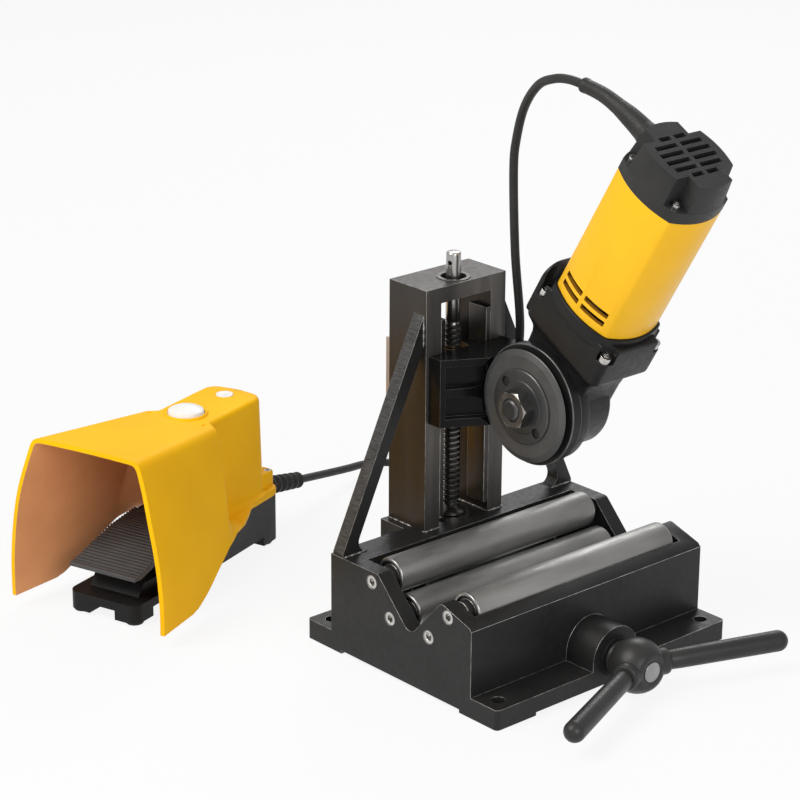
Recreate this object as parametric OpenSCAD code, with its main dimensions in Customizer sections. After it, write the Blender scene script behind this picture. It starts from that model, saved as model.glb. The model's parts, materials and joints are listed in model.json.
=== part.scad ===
// Bench pipe cutting machine with a screw-fed cutting wheel, a roller bed and a foot switch.
// Frame in mm: origin on the bench under the middle of the base, +X along the rollers, -Y to the operator.

/* [Base] */
// Length of the base's flanges along the rollers
base_len = 276; // [260:1:300]
// Depth of the base over both flanges
base_depth = 243; // [230:1:260]
// Thickness of the flanges
flange_t = 18.3; // [14:0.1:22]
// Outside of the front wall
front_y = -89.3; // [-95:0.1:-84]
// Outside of the rear wall
rear_y = 89; // [85:0.5:93]
// Height of the rear deck
deck_z = 91; // [88:0.5:94]
// Height of the front wall
front_z = 80.8; // [76:0.1:84]
// Thickness of the end walls
end_t = 15; // [12:0.5:18]
// Distance of the bolt holes along X
bolt_x = 245; // [235:1:252]
// Distance of the bolt holes along Y
bolt_y = 212; // [206:1:220]
// Diameter of the bolt holes
bolt_d = 12; // [9:0.5:13]

/* [Rollers] */
// Middle of the roller bed along Y
bed_y = -12.4; // [-16:0.1:-8]
// Half the distance of the upper rollers
upper_dy = 47.9; // [46:0.1:50]
// Height of the upper rollers
upper_z = 81.4; // [79:0.1:84]
// Half the distance of the lower rollers
lower_dy = 24.4; // [22:0.1:27]
// Height of the lower rollers
lower_z = 55.3; // [53:0.1:58]
// Diameter of the rollers
roller_d = 32; // [28:0.5:33]
// Length of the rollers
roller_len = 234; // [228:1:238]
// Diameter of the roller axles
axle_d = 12; // [10:0.5:14]
// Gap between a roller and the end wall
end_gap = 6; // [3:0.5:10]

/* [Column] */
// Width of the column
column_w = 93; // [88:0.5:98]
// Front face of the column
column_y = 70; // [68:0.5:72]
// Depth of the column
column_dep = 48; // [44:0.5:52]
// Top of the column
column_top = 313.3; // [305:0.1:325]
// Thickness of the bridge over the slot
bridge_t = 14.3; // [12:0.1:18]
// Width of the slot between the legs
slot_w = 58.4; // [56:0.2:62]
// Thickness of the guide strips
strip_t = 5.2; // [4:0.2:6]
// Width of the braces along X
brace_w = 13.8; // [11:0.1:16]
// Thickness of the braces
brace_t = 13; // [10:0.5:16]

/* [Feed] */
// Place of the spindle along Y
spindle_y = 87; // [84:0.5:90]
// Outer diameter of the spindle thread
thread_d = 16; // [14:0.5:18]
// Pitch of the spindle thread
thread_p = 5; // [4:0.5:6]
// Top of the spindle
spindle_top = 336; // [325:1:345]
// Height of the feed shaft
shaft_z = 26; // [25:0.2:28]
// Diameter of the feed shaft
shaft_d = 18; // [16:0.5:20]
// Diameter of the handle's ball
ball_d = 48; // [44:0.5:52]
// Distance of the handle's ball from the base's front edge
ball_y = 24.9; // [22:0.1:30]
// Length of a handle arm from the ball's middle
arm_len = 141; // [130:1:150]
// Diameter of a handle arm
arm_d = 18.6; // [16:0.2:20]
// Rake of the handle arms to the operator
arm_rake = 21.7; // [15:0.1:28]

/* [Carriage] */
// Bottom of the carriage at rest
car_z0 = 192.3; // [188:0.1:196]
// Top of the carriage at rest
car_z1 = 254; // [248:0.5:260]
// Front of the carriage plate
car_y = 56; // [52:0.5:60]
// Half width of the carriage plate
car_hx = 43.3; // [40:0.1:45]
// Split between the carriage and the gear housing
split_y = 30; // [28:0.5:34]

/* [Drive] */
// Height of the cutter axis at rest
cut_z = 223.1; // [220:0.1:226]
// Diameter of the cutting wheel
wheel_d = 99.6; // [90:0.2:102]
// Tilt of the motor to the operator
tilt = 30.1; // [25:0.1:35]
// Motor axis along X
motor_x = 30.7; // [28:0.1:33]
// Half width of the motor between its corners along X
motor_hx = 30.9; // [29:0.1:33]
// Half width of the motor between its corners across X
motor_hy = 33.4; // [31:0.1:36]
// Bulge of the motor's sides
bulge = 8; // [5:0.5:10]
// Distance of the motor's lower end from the cutter axis
motor_c0 = 112.8; // [108:0.2:118]
// Length of the motor housing
motor_len = 130; // [120:1:140]
// Height of the motor cap
cap_h = 36.5; // [32:0.5:42]

/* [Foot switch] */
// Turn of the foot switch about Z
foot_turn = 17.1; // [10:0.1:25]
// Half width of the hood at its lower front corners
hood_b = 84.5; // [80:0.5:90]
// Half width of the hood's roof at the front
hood_a = 57.5; // [54:0.5:62]
// Height of the hood at the front
hood_h = 168; // [160:1:175]
// Wall of the hood
hood_wall = 4; // [3:0.5:5]
// Diameter of the dome button
dome_d = 34; // [30:0.2:38]
// Diameter of the cable
cable_d = 7.8; // [6:0.1:9]

/* [Hidden] */
$fn = 48;
hl = base_len / 2;
hd = base_depth / 2;
wall_x = roller_len / 2 + end_gap;
box_x = wall_x + end_t;
ball_at = -hd - ball_y;
run = 0.05;
slot_h = column_top - bridge_t;
column_back = column_y + column_dep;
cap_c = motor_c0 + motor_len;
cap_top = cap_c + cap_h;
foot_x = -251.2;
foot_y = 271.2;
roof_z = 153.6;
dome_u = 132;
small_u = 193.5;

function unit(v) = v / norm(v);
function lerp(a, b, t) = a + (b - a) * t;
function step01(a, b, x) = let (t = min(1, max(0, (x - a) / (b - a)))) t * t * (3 - 2 * t);

module xcyl(d, x0, x1, y, z) translate([x0, y, z]) rotate([0, 90, 0]) cylinder(d = d, h = x1 - x0);
module ycyl(d, y0, y1, x, z) translate([x, y1, z]) rotate([90, 0, 0]) cylinder(d = d, h = y1 - y0);
module zcyl(d, z0, z1, x = 0, y = 0) translate([x, y, z0]) cylinder(d = d, h = z1 - z0);
module slab(x0, x1, y0, y1, z0, z1) translate([x0, y0, z0]) cube([x1 - x0, y1 - y0, z1 - z0]);
module yz_plate(x0, x1) translate([x0, 0, 0]) rotate([90, 0, 90]) linear_extrude(x1 - x0) children();
module xz_plate(y0, y1) translate([0, y1, 0]) rotate([90, 0, 0]) linear_extrude(y1 - y0) children();
module drive() translate([motor_x, bed_y, cut_z]) rotate([tilt, 0, 0]) children();
module foot() translate([foot_x, foot_y, 0]) rotate([0, 0, foot_turn]) children();
module axles() for (s = [-1, 1]) {
  translate([0, bed_y + s * upper_dy, upper_z]) children();
  translate([0, bed_y + s * lower_dy, lower_z]) children();
}
module socket_screw(d, head, hh, len) difference() {
  union() {
    cylinder(d = head, h = hh);
    translate([0, 0, -len]) cylinder(d = d, h = len + hh / 2);
  }
  translate([0, 0, hh * 0.45]) cylinder(d = head * 0.58, h = hh, $fn = 6);
}

// A side of the bulged square from corner a to corner b.
function side(a, b, n, s) = [for (i = [0:n - 1]) let (t = i / n) lerp(a, b, t) + n2(a, b)
  * s * 4 * t * (1 - t)];
function n2(a, b) = let (d = unit(b - a)) [d[1], -d[0]];
function bulged(hx, hy, s, n = 10) = concat(side([-hx, -hy], [hx, -hy], n, s),
  side([hx, -hy], [hx, hy], n, s),
  side([hx, hy], [-hx, hy], n, s), side([-hx, hy], [-hx, -hy], n, s));

function arc(c, r, a0, a1, n) = [for (i = [0:n]) let (a = lerp(a0, a1, i / n)) c + r * [cos(a), sin(a)]];
function soft_box(a, b, r) = concat(arc([a - r, b - r], r, 0, 90, 5), arc([r - a, b - r], r, 90, 180, 5),
  arc([r - a, r - b], r, 180, 270, 5), arc([a - r, r - b], r, 270, 360, 5));
end_profile = concat([[front_y, 3], [rear_y, 3], [rear_y, deck_z]],
  arc([27 + 2.5, deck_z - 6], 6, 90, 135, 4), arc([bed_y - 1, 62], 9, 315, 225, 6),
  arc([-53.5, deck_z - 5.2], 5, 45, 105, 4), [[front_y + 3, front_z], [front_y, front_z - 3]]);

module corner(x, y) mirror([x < 0 ? 1 : 0, 0, 0]) mirror([0, y < 0 ? 1 : 0, 0]) difference() {
  slab(hl - 4, hl + 1, hd - 4, hd + 1, -1, 40);
  zcyl(8, -2, 42, hl - 4, hd - 4);
}
module flange(s) {
  difference() {
    slab(-hl, hl, s > 0 ? rear_y - 4 : -hd, s > 0 ? hd : front_y + 4, 3, flange_t);
    for (x = [-1, 1]) corner(x, s);
  }
  for (x = [-1, 1]) difference() {
    slab(x > 0 ? hl - 45 : -hl, x > 0 ? hl : -hl + 45, s > 0 ? hd - 46 : -hd, s > 0 ? hd : -hd + 46, 0, 6);
    corner(x, s);
  }
}
module base_casting() color([0.06, 0.06, 0.065]) difference() {
  union() {
    yz_plate(-box_x, box_x) polygon(end_profile);
    flange(-1);
    flange(1);
    slab(-54, 54, rear_y - 31, hd - 1.4, 3, deck_z);
    ycyl(53.4, -hd, front_y + 2, 0, shaft_z);
    slab(-26.7, 26.7, -hd, front_y + 2, 3, shaft_z);
  }
  difference() {
    slab(-wall_x, wall_x, front_y + 12, rear_y - 31, -1, 120);
    slab(-40, 40, rear_y - 40, rear_y - 20, 3, 40);
  }
  for (s = [-1, 1]) slab(s > 0 ? 54 : -wall_x, s > 0 ? wall_x : -54, front_y + 12, rear_y - 12, -1,
    deck_z - 12);
  slab(-25, 25, 62, 112, -1, 50);
  slab(-60, 60, -hd - 1, hd + 1, -1, 3);
  axles() xcyl(axle_d + 2 * run, -box_x - 1, box_x + 1, 0, 0);
  for (x = [-1, 1], y = [-1, 1]) zcyl(bolt_d, -1, flange_t + 1, x * bolt_x / 2, y * bolt_y / 2);
  ycyl(28, -hd - 1, -94, 0, shaft_z);
  ycyl(24, -95, 63, 0, shaft_z);
  zcyl(26, 49, deck_z + 1, 0, spindle_y);
  for (x = [-1, 1], y = [82, 106]) {
    zcyl(8 + 2 * run, 50, deck_z + 1, x * 38.8, y);
    zcyl(14, -1, 60, x * 38.8, y);
  }
}
module column() color([0.09, 0.085, 0.08]) difference() {
  slab(-column_w / 2, column_w / 2, column_y, column_back, deck_z, column_top);
  slab(-slot_w / 2, slot_w / 2, column_y - 1, column_back + 1, deck_z - 1, slot_h);
  zcyl(30, slot_h - 1, column_top + 1, 0, spindle_y);
  for (x = [-1, 1], y = [82, 106]) zcyl(8 + 2 * run, deck_z - 1, deck_z + 20, x * 38.8, y);
}
module guide_strips() color([0.30, 0.25, 0.22]) for (s = [-1, 1])
  translate([s * (slot_w / 2 - strip_t / 2), column_y + 11, 192.5]) cube([strip_t, 22, 183], center = true);
module column_bolts() color([0.3, 0.3, 0.31]) for (x = [-1, 1], y = [82, 106])
  translate([x * 38.8, y, 60]) mirror([0, 0, 1]) socket_screw(8, 13, 8, 50);

brace_k = (288 - deck_z) / (box_x - column_w / 2);
module brace(s) mirror([s < 0 ? 1 : 0, 0, 0]) xz_plate(column_y + 3, column_y + 3 + brace_t) polygon(concat(
  [[box_x, deck_z], [box_x, deck_z + 3], [column_w / 2, 291], [column_w / 2, 291 - brace_w * brace_k]],
  arc([box_x - brace_w - 14.3, deck_z + 10], 10, atan(1 / brace_k), -90, 8)));
module left_brace() color([0.07, 0.07, 0.075]) brace(-1);
module right_brace() color([0.07, 0.07, 0.075]) brace(1);

module roller_axles() color([0.75, 0.76, 0.77]) axles() difference() {
  xcyl(axle_d, -box_x + 0.4, box_x - 0.4, 0, 0);
  for (s = [-1, 1]) translate([s * (box_x - 0.4), 0, 0]) rotate([0, 90, 0])
    cylinder(d = 6.9, h = 12, center = true, $fn = 6);
}
module roller_bushes() color([0.42, 0.42, 0.43]) axles() for (s = [0, 1]) mirror([s, 0, 0]) difference() {
  union() {
    xcyl(26, roller_len / 2 - 14, roller_len / 2 - 2, 0, 0);
    xcyl(19, roller_len / 2 - 3, wall_x, 0, 0);
  }
  xcyl(axle_d + 2 * run, roller_len / 2 - 20, box_x, 0, 0);
}
module roller(y, z) color([0.36, 0.36, 0.35]) difference() {
  xcyl(roller_d, -roller_len / 2, roller_len / 2, y, z);
  xcyl(26 + 2 * run, -roller_len / 2 - 1, roller_len / 2 + 1, y, z);
}
module roller_upper_rear() roller(bed_y + upper_dy, upper_z);
module roller_lower_rear() roller(bed_y + lower_dy, lower_z);
module roller_lower_front() roller(bed_y - lower_dy, lower_z);
module roller_upper_front() roller(bed_y - upper_dy, upper_z);

module spindle_top_bush() color([0.72, 0.72, 0.70]) difference() {
  zcyl(30, slot_h + 1, column_top + 0.8, 0, spindle_y);
  zcyl(13 + 2 * run, slot_h, column_top + 2, 0, spindle_y);
  zcyl(22, column_top - 5, column_top + 2, 0, spindle_y);
}
module spindle_thrust_bush() color([0.62, 0.48, 0.22]) difference() {
  union() {
    zcyl(26, 62, deck_z, 0, spindle_y);
    zcyl(36, deck_z, deck_z + 2.5, 0, spindle_y);
  }
  zcyl(14 + 2 * run, 60, deck_z + 4, 0, spindle_y);
}
// A thread ridge wound about Z from z0 to z1.
module ridge(r0, r1, p, z0, z1, seg = 10) {
  n = floor((z1 - z0) / p * seg);
  function ring(i) = let (a = i * 360 / seg, z = z0 + p * i / seg, c = [cos(a), sin(a)]) [
    [r0 * c[0], r0 * c[1], z - p * 0.34], [r1 * c[0], r1 * c[1], z - p * 0.17],
    [r1 * c[0], r1 * c[1], z + p * 0.17], [r0 * c[0], r0 * c[1], z + p * 0.34]];
  pts = [for (i = [0:n]) each ring(i)];
  faces = concat([[3, 2, 1, 0]], [for (i = [0:n - 1], k = [0:3]) [i * 4 + (k + 1) % 4, i * 4 + 4 + (k + 1)
    % 4, i * 4 + 4 + k, i * 4 + k]],
    [[n * 4, n * 4 + 1, n * 4 + 2, n * 4 + 3]]);
  polyhedron(pts, faces, convexity = 8);
}
module lead_screw() color([0.55, 0.53, 0.50]) translate([0, spindle_y, 0]) difference() {
  union() {
    zcyl(14, 31, 98);
    zcyl(26, deck_z + 2.8, 98);
    zcyl(thread_d - 4, 97, 276);
    ridge(thread_d / 2 - 2.6, thread_d / 2, thread_p, 101, 273);
    zcyl(13, 275, spindle_top - 1);
    translate([0, 0, spindle_top - 1]) cylinder(d1 = 13, d2 = 11, h = 1);
  }
  translate([0, 0, spindle_top - 9]) rotate([0, 90, 18]) cylinder(d = 4, h = 30, center = true);
}
// Straight bevel gear with its apex at the origin and its axis along +Z.
module bevel_gear(n, r, ra, face, w, ph = 0) {
  g = atan(r / ra);
  cone = norm([r, ra]);
  m = 2 * r / n;
  rt = ra * tan(g + atan(0.75 * m / cone));
  rr = ra * tan(g - atan(1.05 * m / cone));
  s = (cone - face) / cone;
  pts = [for (i = [0:n - 1], k = [[-0.32, 0], [-0.13, 1], [0.13, 1], [0.32, 0]])
    let (a = (i + k[0] + ph) * 360 / n, q = k[1] > 0 ? rt : rr) q * [cos(a), sin(a)]];
  translate([0, 0, ra]) mirror([0, 0, 1]) linear_extrude(ra * (1 - s), scale = s) polygon(pts);
  translate([0, 0, ra]) cylinder(r1 = rr * 0.97, r2 = rr * 0.8, h = w);
}
module spindle_gear() color([0.45, 0.45, 0.46]) translate([0, spindle_y, shaft_z]) difference() {
  bevel_gear(18, 18, 18, 10, 4);
  cylinder(d = 14.04, h = 60, center = true);
}
module feed_gear() color([0.45, 0.45, 0.46]) translate([0, spindle_y, shaft_z]) rotate([90, 0, 0])
  difference() {
  bevel_gear(18, 18, 18, 10, 4, 0.5);
  cylinder(d = 14.04, h = 60, center = true);
}
module feed_shaft() color([0.78, 0.78, 0.78]) union() {
  ycyl(shaft_d, ball_at - 18.4, 64, 0, shaft_z);
  ycyl(14, 60, spindle_y - 9.5, 0, shaft_z);
}
module feed_bushes() color([0.62, 0.48, 0.22]) {
  difference() {
    union() {
      ycyl(28, -hd, -94, 0, shaft_z);
      ycyl(36, -hd - 2.4, -hd, 0, shaft_z);
    }
    ycyl(shaft_d + 2 * run, -hd - 5, -90, 0, shaft_z);
  }
  difference() {
    ycyl(24, rear_y - 40, 62, 0, shaft_z);
    ycyl(shaft_d + 2 * run, 40, 63, 0, shaft_z);
  }
}
module arm_frame(s) translate([0, ball_at, shaft_z]) rotate([0, -1.2, 0])
  rotate([0, 0, s > 0 ? -arm_rake : 180 + arm_rake])
  rotate([0, 90, 0]) children();
hub_bore = shaft_d / 2 + run;
ball_profile = concat([[hub_bore, -18]], arc([0, 0], ball_d / 2, -asin(36 / ball_d), asin(0.78), 14),
  [[15, ball_y - 2.8], [hub_bore, ball_y - 2.8]]);
module handle_hub() color([0.06, 0.06, 0.06]) difference() {
  union() {
    translate([0, ball_at, shaft_z]) rotate([90, 0, 0]) rotate_extrude($fn = 56) mirror([0, 1])
      polygon(ball_profile);
    for (s = [-1, 1]) arm_frame(s) translate([0, 0, 16]) cylinder(d = 23, h = 12);
  }
  for (s = [-1, 1]) arm_frame(s) translate([0, 0, 17]) cylinder(d = 12 + 2 * run, h = 30);
}
module arm(s) color([0.06, 0.06, 0.06]) arm_frame(s) {
  translate([0, 0, 17.2]) cylinder(d = 12, h = 16);
  translate([0, 0, 28.2]) cylinder(d1 = 16.6, d2 = 17.4, h = 12);
  translate([0, 0, 40]) cylinder(d1 = 17.4, d2 = arm_d, h = arm_len - 40 - arm_d / 2);
  translate([0, 0, arm_len - arm_d / 2]) sphere(d = arm_d);
}
module handle_arm_left() arm(-1);
module handle_arm_right() arm(1);

module carriage_casting() color([0.05, 0.05, 0.055]) difference() {
  union() {
    slab(-car_hx, car_hx, car_y, column_y - 0.5, car_z0, car_z1);
    slab(-slot_w / 2 + strip_t + 0.3, slot_w / 2 - strip_t - 0.3, car_y, column_back + 0.4, car_z0 + 4,
      car_z1 - 4);
    translate([0, 0, car_z0]) linear_extrude(car_z1 - car_z0)
      polygon([[-car_hx, car_y + 1], [car_hx, car_y + 1],
      [56, 38], [56, split_y], [0.5, split_y], [-car_hx, car_y - 1]]);
  }
  for (z = [car_z0 + 7.5, car_z0 + 35]) translate([-car_hx + 4, car_y - 3, z]) rotate([0, 0, -31])
    translate([0, -12, 0]) cube([38, 20, 20]);
  zcyl(28 + 2 * run, car_z0 - 5, car_z1 + 5, 0, spindle_y);
  xcyl(110, -30, 8.2, bed_y, cut_z);
  for (x = [-17, 17], z = [208, 238]) ycyl(6 + 2 * run, 104, column_back + 2, x, z);
}
module spindle_nut() color([0.66, 0.50, 0.24]) difference() {
  union() {
    zcyl(28, car_z0 + 3, car_z1 - 4, 0, spindle_y);
    zcyl(34, car_z0, car_z0 + 4, 0, spindle_y);
  }
  zcyl(thread_d + 0.6, car_z0 - 1, car_z1 + 1, 0, spindle_y);
}
module rear_guide_plate() color([0.62, 0.57, 0.54]) difference() {
  slab(-43.6, 43.6, column_back + 0.4, column_back + 7.4, 190, 258);
  for (x = [-17, 17], z = [208, 238]) ycyl(6 + 2 * run, column_back - 1, column_back + 9, x, z);
}
module guide_screws() color([0.7, 0.7, 0.71]) for (x = [-17, 17], z = [208, 238])
  translate([x, column_back + 7.4, z]) rotate([-90, 0, 0]) socket_screw(6, 10, 6, 20);

module gear_housing() color([0.05, 0.05, 0.055]) difference() {
  union() {
    xcyl(104, 8, 19, bed_y, cut_z);
    xcyl(89, 18, 50, bed_y, cut_z);
    translate([50, bed_y, cut_z]) rotate([0, 90, 0]) cylinder(d1 = 89, d2 = 76, h = 7);
    slab(0.5, 56, bed_y + 10, split_y, car_z0 + 1.7, car_z1 - 2);
    drive() {
      translate([0, 0, 18]) linear_extrude(68) polygon(soft_box(30, 34, 9));
      translate([0, 0, 68]) linear_extrude(39) polygon(soft_box(35, 47.5, 8));
      translate([0, 0, 90]) linear_extrude(motor_c0 - 90)
        polygon(bulged(motor_hx + 2, motor_hy + 2, bulge));
      xz_plate(38, 49) polygon(concat([[-34, 74], [34, 74]], arc([12, 100], 22, 0, 90, 6),
        arc([-12, 100], 22, 90, 180, 6)));
    }
  }
  xcyl(80, 7, 46, bed_y, cut_z);
  xcyl(107 + 2 * run, -9, 8, bed_y, cut_z);
  drive() translate([0, 0, motor_c0]) linear_extrude(40)
    polygon(bulged(motor_hx + 0.3, motor_hy + 0.3, bulge));
  xcyl(42 + 2 * run, 40, 54, bed_y, cut_z);
  slab(-9, 70, split_y, 90, car_z0 - 9, car_z1 + 9);
  drive() {
    zcyl(54, 0, 104.5);
    zcyl(24 + 2 * run, 100, 140);
    for (x = [-29, 29], y = [-41, 41]) {
      zcyl(6 + 2 * run, 60, 110, x, y);
      zcyl(16, 93, 140, x, y);
    }
  }
}
module gear_cover() color([0.08, 0.08, 0.085]) difference() {
  xcyl(107, -2.5, 8, bed_y, cut_z);
  xcyl(47 + 2 * run, -4, 9, bed_y, cut_z);
}
module motor_housing() color([0.93, 0.66, 0.03]) drive() difference() {
  translate([0, 0, motor_c0]) linear_extrude(motor_len) polygon(bulged(motor_hx, motor_hy, bulge));
  translate([0, 0, motor_c0 - 1]) linear_extrude(motor_len + 2)
    polygon(bulged(motor_hx - 4, motor_hy - 4, bulge));
  for (y = [-14.5, 14.5], z = [10.5, 19.5]) translate([0, y, motor_c0 + z])
    cube([120, 25, 5], center = true);
}
module motor_cap() color([0.05, 0.05, 0.05]) drive() difference() {
  union() {
    translate([0, 0, cap_c]) linear_extrude(11) polygon(bulged(motor_hx, motor_hy, bulge));
    translate([0, 0, cap_c + 10]) linear_extrude(cap_h - 10, scale = 0.93) difference() {
      polygon(bulged(motor_hx, motor_hy, bulge));
      for (x = [-1, 1], y = [-1, 1]) translate([x * motor_hx, y * motor_hy]) square(21, center = true);
    }
    translate([0, motor_hy - 4, cap_c + 20]) rotate([-90, 0, 0]) cylinder(d = 24, h = 12.5);
  }
  difference() {
    translate([0, 0, cap_c - 1]) linear_extrude(cap_h - 3)
      polygon(bulged(motor_hx - 16, motor_hy - 16, bulge));
    translate([-40, -6, cap_c + 3]) cube([80, 12, 11]);
  }
  zcyl(22 + 2 * run, cap_c - 2, cap_c + 11);
  for (x = [-1, 1], k = [0:5]) let (n = [12.5, 24, 26, 26, 24, 12.5][k])
    translate([x * (2.2 + n / 2), (k - 2.5) * 8.4, cap_top]) cube([n, 4.4, 16], center = true);
  translate([0, motor_hy - 6, cap_c + 20]) rotate([-90, 0, 0]) cylinder(d = 12.1, h = 30);
  for (x = [-1, 1], y = [-1, 1]) zcyl(4 + 2 * run, cap_c - 1, cap_c + 12, x * 26, y * 28);
}
module motor_screws() color([0.8, 0.8, 0.8]) drive() for (x = [-29, 29], y = [-41, 41])
  translate([x, y, 93]) socket_screw(6, 10, 6, 24);
module cap_screws() color([0.8, 0.8, 0.8]) drive() for (x = [-1, 1], y = [-1, 1])
  translate([x * 26, y * 28, cap_c + 11]) socket_screw(4, 7, 4, 10.5);
module stator() color([0.35, 0.33, 0.32]) drive() difference() {
  translate([0, 0, 150]) linear_extrude(56) polygon(bulged(motor_hx - 4.05, motor_hy - 4.05, bulge));
  zcyl(38, 140, 220);
}
module armature() color([0.5, 0.42, 0.36]) drive() {
  zcyl(8, 96, cap_c + 9.5);
  zcyl(37, 150, 206);
  zcyl(22, 212, 231);
  zcyl(56, 124, 126.5);
  for (k = [0:9]) rotate([0, 0, k * 36]) translate([14, -0.8, 126]) cube([13, 1.6, 9]);
  zcyl(20, 124, 137);
}
module drive_bearings() color([0.7, 0.7, 0.72]) {
  difference() { xcyl(47, -1.5, 8, bed_y, cut_z); xcyl(25 + 2 * run, -3, 9, bed_y, cut_z); }
  difference() { xcyl(42, 46.3, 53.5, bed_y, cut_z); xcyl(20 + 2 * run, 45, 55, bed_y, cut_z); }
  drive() difference() { zcyl(24, 104.6, 112.6); zcyl(8 + 2 * run, 100, 120); }
  drive() difference() { zcyl(22, cap_c + 3, cap_c + 10); zcyl(8 + 2 * run, cap_c, cap_c + 12); }
}
module reduction_gear() color([0.4, 0.4, 0.42]) drive() difference() {
  zcyl(53.9, 60, 104.4);
  zcyl(14 + 2 * run, 59, 84);
  zcyl(46, 73, 94);
  zcyl(8 + 2 * run, 90, 105);
}
module bevel_pinion() color([0.5, 0.5, 0.52]) drive() {
  bevel_gear(12, 11, 33, 9, 6);
  zcyl(14, 32, 73.4);
}
module planet_carrier() color([0.45, 0.45, 0.47]) drive() {
  zcyl(45, 73.4, 79);
  zcyl(45, 88.6, 93.6);
  for (a = [0, 120, 240]) rotate([0, 0, a]) translate([14, 0, 0]) zcyl(15, 78, 89.6);
}
module bevel_wheel() color([0.5, 0.5, 0.52]) translate([motor_x, bed_y, cut_z]) rotate([tilt, 0, 0])
  rotate([0, 90, 0])
  difference() {
    bevel_gear(36, 33, 11, 9, 4, 0.5);
    cylinder(d = 25.04, h = 60, center = true);
  }
module cutter_shaft() color([0.62, 0.62, 0.62]) {
  xcyl(20, -26.5, -10, bed_y, cut_z);
  xcyl(25, -11, 46, bed_y, cut_z);
  xcyl(20, 45, 54, bed_y, cut_z);
  xcyl(40, -5, -3, bed_y, cut_z);
}
module cutting_wheel() color([0.09, 0.09, 0.09]) difference() {
  union() {
    xcyl(88, -10.4, -5, bed_y, cut_z);
    translate([-8, bed_y, cut_z]) rotate([0, 90, 0]) cylinder(d1 = wheel_d, d2 = 90, h = 2.6);
    translate([-10.2, bed_y, cut_z]) rotate([0, 90, 0]) cylinder(d1 = 92, d2 = wheel_d, h = 2.2);
  }
  xcyl(25.04, -20, 0, bed_y, cut_z);
}
module clamp_flange() color([0.08, 0.08, 0.08]) difference() {
  union() {
    xcyl(66, -12.4, -10.4, bed_y, cut_z);
    xcyl(46, -13, -12, bed_y, cut_z);
  }
  xcyl(25.04, -20, 0, bed_y, cut_z);
  for (a = [45, 225]) translate([0, bed_y + 26.5 * cos(a), cut_z + 26.5 * sin(a)]) xcyl(9, -20, 0, 0, 0);
}
module cutter_nut() color([0.14, 0.14, 0.14]) difference() {
  translate([-24, bed_y, cut_z]) rotate([0, 90, 0]) intersection() {
    cylinder(d = 30 / cos(30), h = 11, $fn = 6);
    union() { cylinder(d1 = 30.4, d2 = 36, h = 1.6); translate([0, 0, 1.5]) cylinder(d = 36, h = 10); }
  }
  xcyl(20.04, -30, 0, bed_y, cut_z);
}

// Tube of radius r along points p, with a frame that doesn't twist.
function frames(t, i, r, acc) = i == len(t) ? acc : let (q = unit(r - t[i] * (r * t[i])))
  frames(t, i + 1, q, concat(acc, [q]));
module taper(p, r, s = 12) {
  n = len(p);
  t = [for (i = [0:n - 1]) unit(p[min(n - 1, i + 1)] - p[max(0, i - 1)])];
  q = frames(t, 0, abs(t[0][2]) > 0.8 ? [1, 0, 0] : [0, 0, 1], []);
  pts = [for (i = [0:n - 1], k = [0:s - 1]) let (a = k * 360 / s) p[i] + r[i] * (cos(a) * q[i] + sin(a)
    * cross(t[i], q[i]))];
  polyhedron(pts, concat([[for (k = [0:s - 1]) k]], [for (i = [0:n - 2], k = [0:s - 1])
    [i * s + s + k, i * s + s + (k + 1) % s, i * s + (k + 1) % s, i * s + k]],
      [[for (k = [s - 1:-1:0]) (n - 1) * s + k]]), convexity = 8);
}
module tube(p, r, s = 8) taper(p, [for (i = p) r], s);
function spline(p, m) = let (n = len(p))
  concat([for (i = [0:n - 2], j = [0:m - 1]) let (a = p[max(0, i - 1)], b = p[i], c = p[i + 1],
  d = p[min(n - 1, i + 2)], u = j / m) 0.5 * (2 * b + (c - a) * u + (2 * a - 5 * b + 4 * c - d)
    * u * u + (3 * b - a - 3 * c + d) * u * u * u)], [p[n - 1]]);
function to_foot(q) = [foot_x + q[0] * cos(foot_turn) - q[1] * sin(foot_turn),
  foot_y + q[0] * sin(foot_turn) + q[1] * cos(foot_turn), q[2]];
function to_drive(q) = [motor_x + q[0], bed_y + q[1] * cos(tilt) - q[2] * sin(tilt),
  cut_z + q[1] * sin(tilt) + q[2] * cos(tilt)];
guard_c = cap_c + 20;
guard_path = spline([to_drive([0, motor_hy + 8.6, guard_c]), to_drive([0, motor_hy + 26, guard_c]),
  [30.8, -75, 488.6], [31, -56, 495.6], [31.5, -33, 499.7]], 4);
cable_path = concat([to_foot([285, -10, 38.2]), to_foot([300.4, -10, 34.7]), to_foot([356.2, -10, 23.4]),
  to_foot([392, -10, 16.4]), to_foot([418, -10, 11.8])],
  [[172, 386, 8.4], [191.5, 377.5, 5.6], [205.5, 360, 4.5], [211, 330, 4.3], [196.5, 299.5, 4.3],
   [147.5, 257.5, 4.3], [96, 219, 4.8], [73, 184, 13], [58, 160, 38], [51, 142, 80], [52, 121, 128],
   [56, 94, 172], [57.5, 72, 212], [56.5, 61, 258], [54, 66.7, 331], [54.5, 71, 402], [53.5, 67, 432],
   [48.8, 53, 463], [40.5, 28.5, 487], [34.8, 4, 497.5], [32.6, -15, 500.6], [31.5, -32.7, 499.7]]);
module connection_cable() color([0.04, 0.04, 0.04]) tube(spline(cable_path, 3), cable_d / 2);
module cord_guard() color([0.05, 0.05, 0.05]) {
  n = len(guard_path) - 1;
  drive() translate([0, motor_hy, guard_c]) rotate([-90, 0, 0]) cylinder(d = 12, h = 9);
  taper(guard_path, [for (i = [0:n]) lerp(9.5, 6.9, min(1, i / n * 1.05))]);
}

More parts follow.
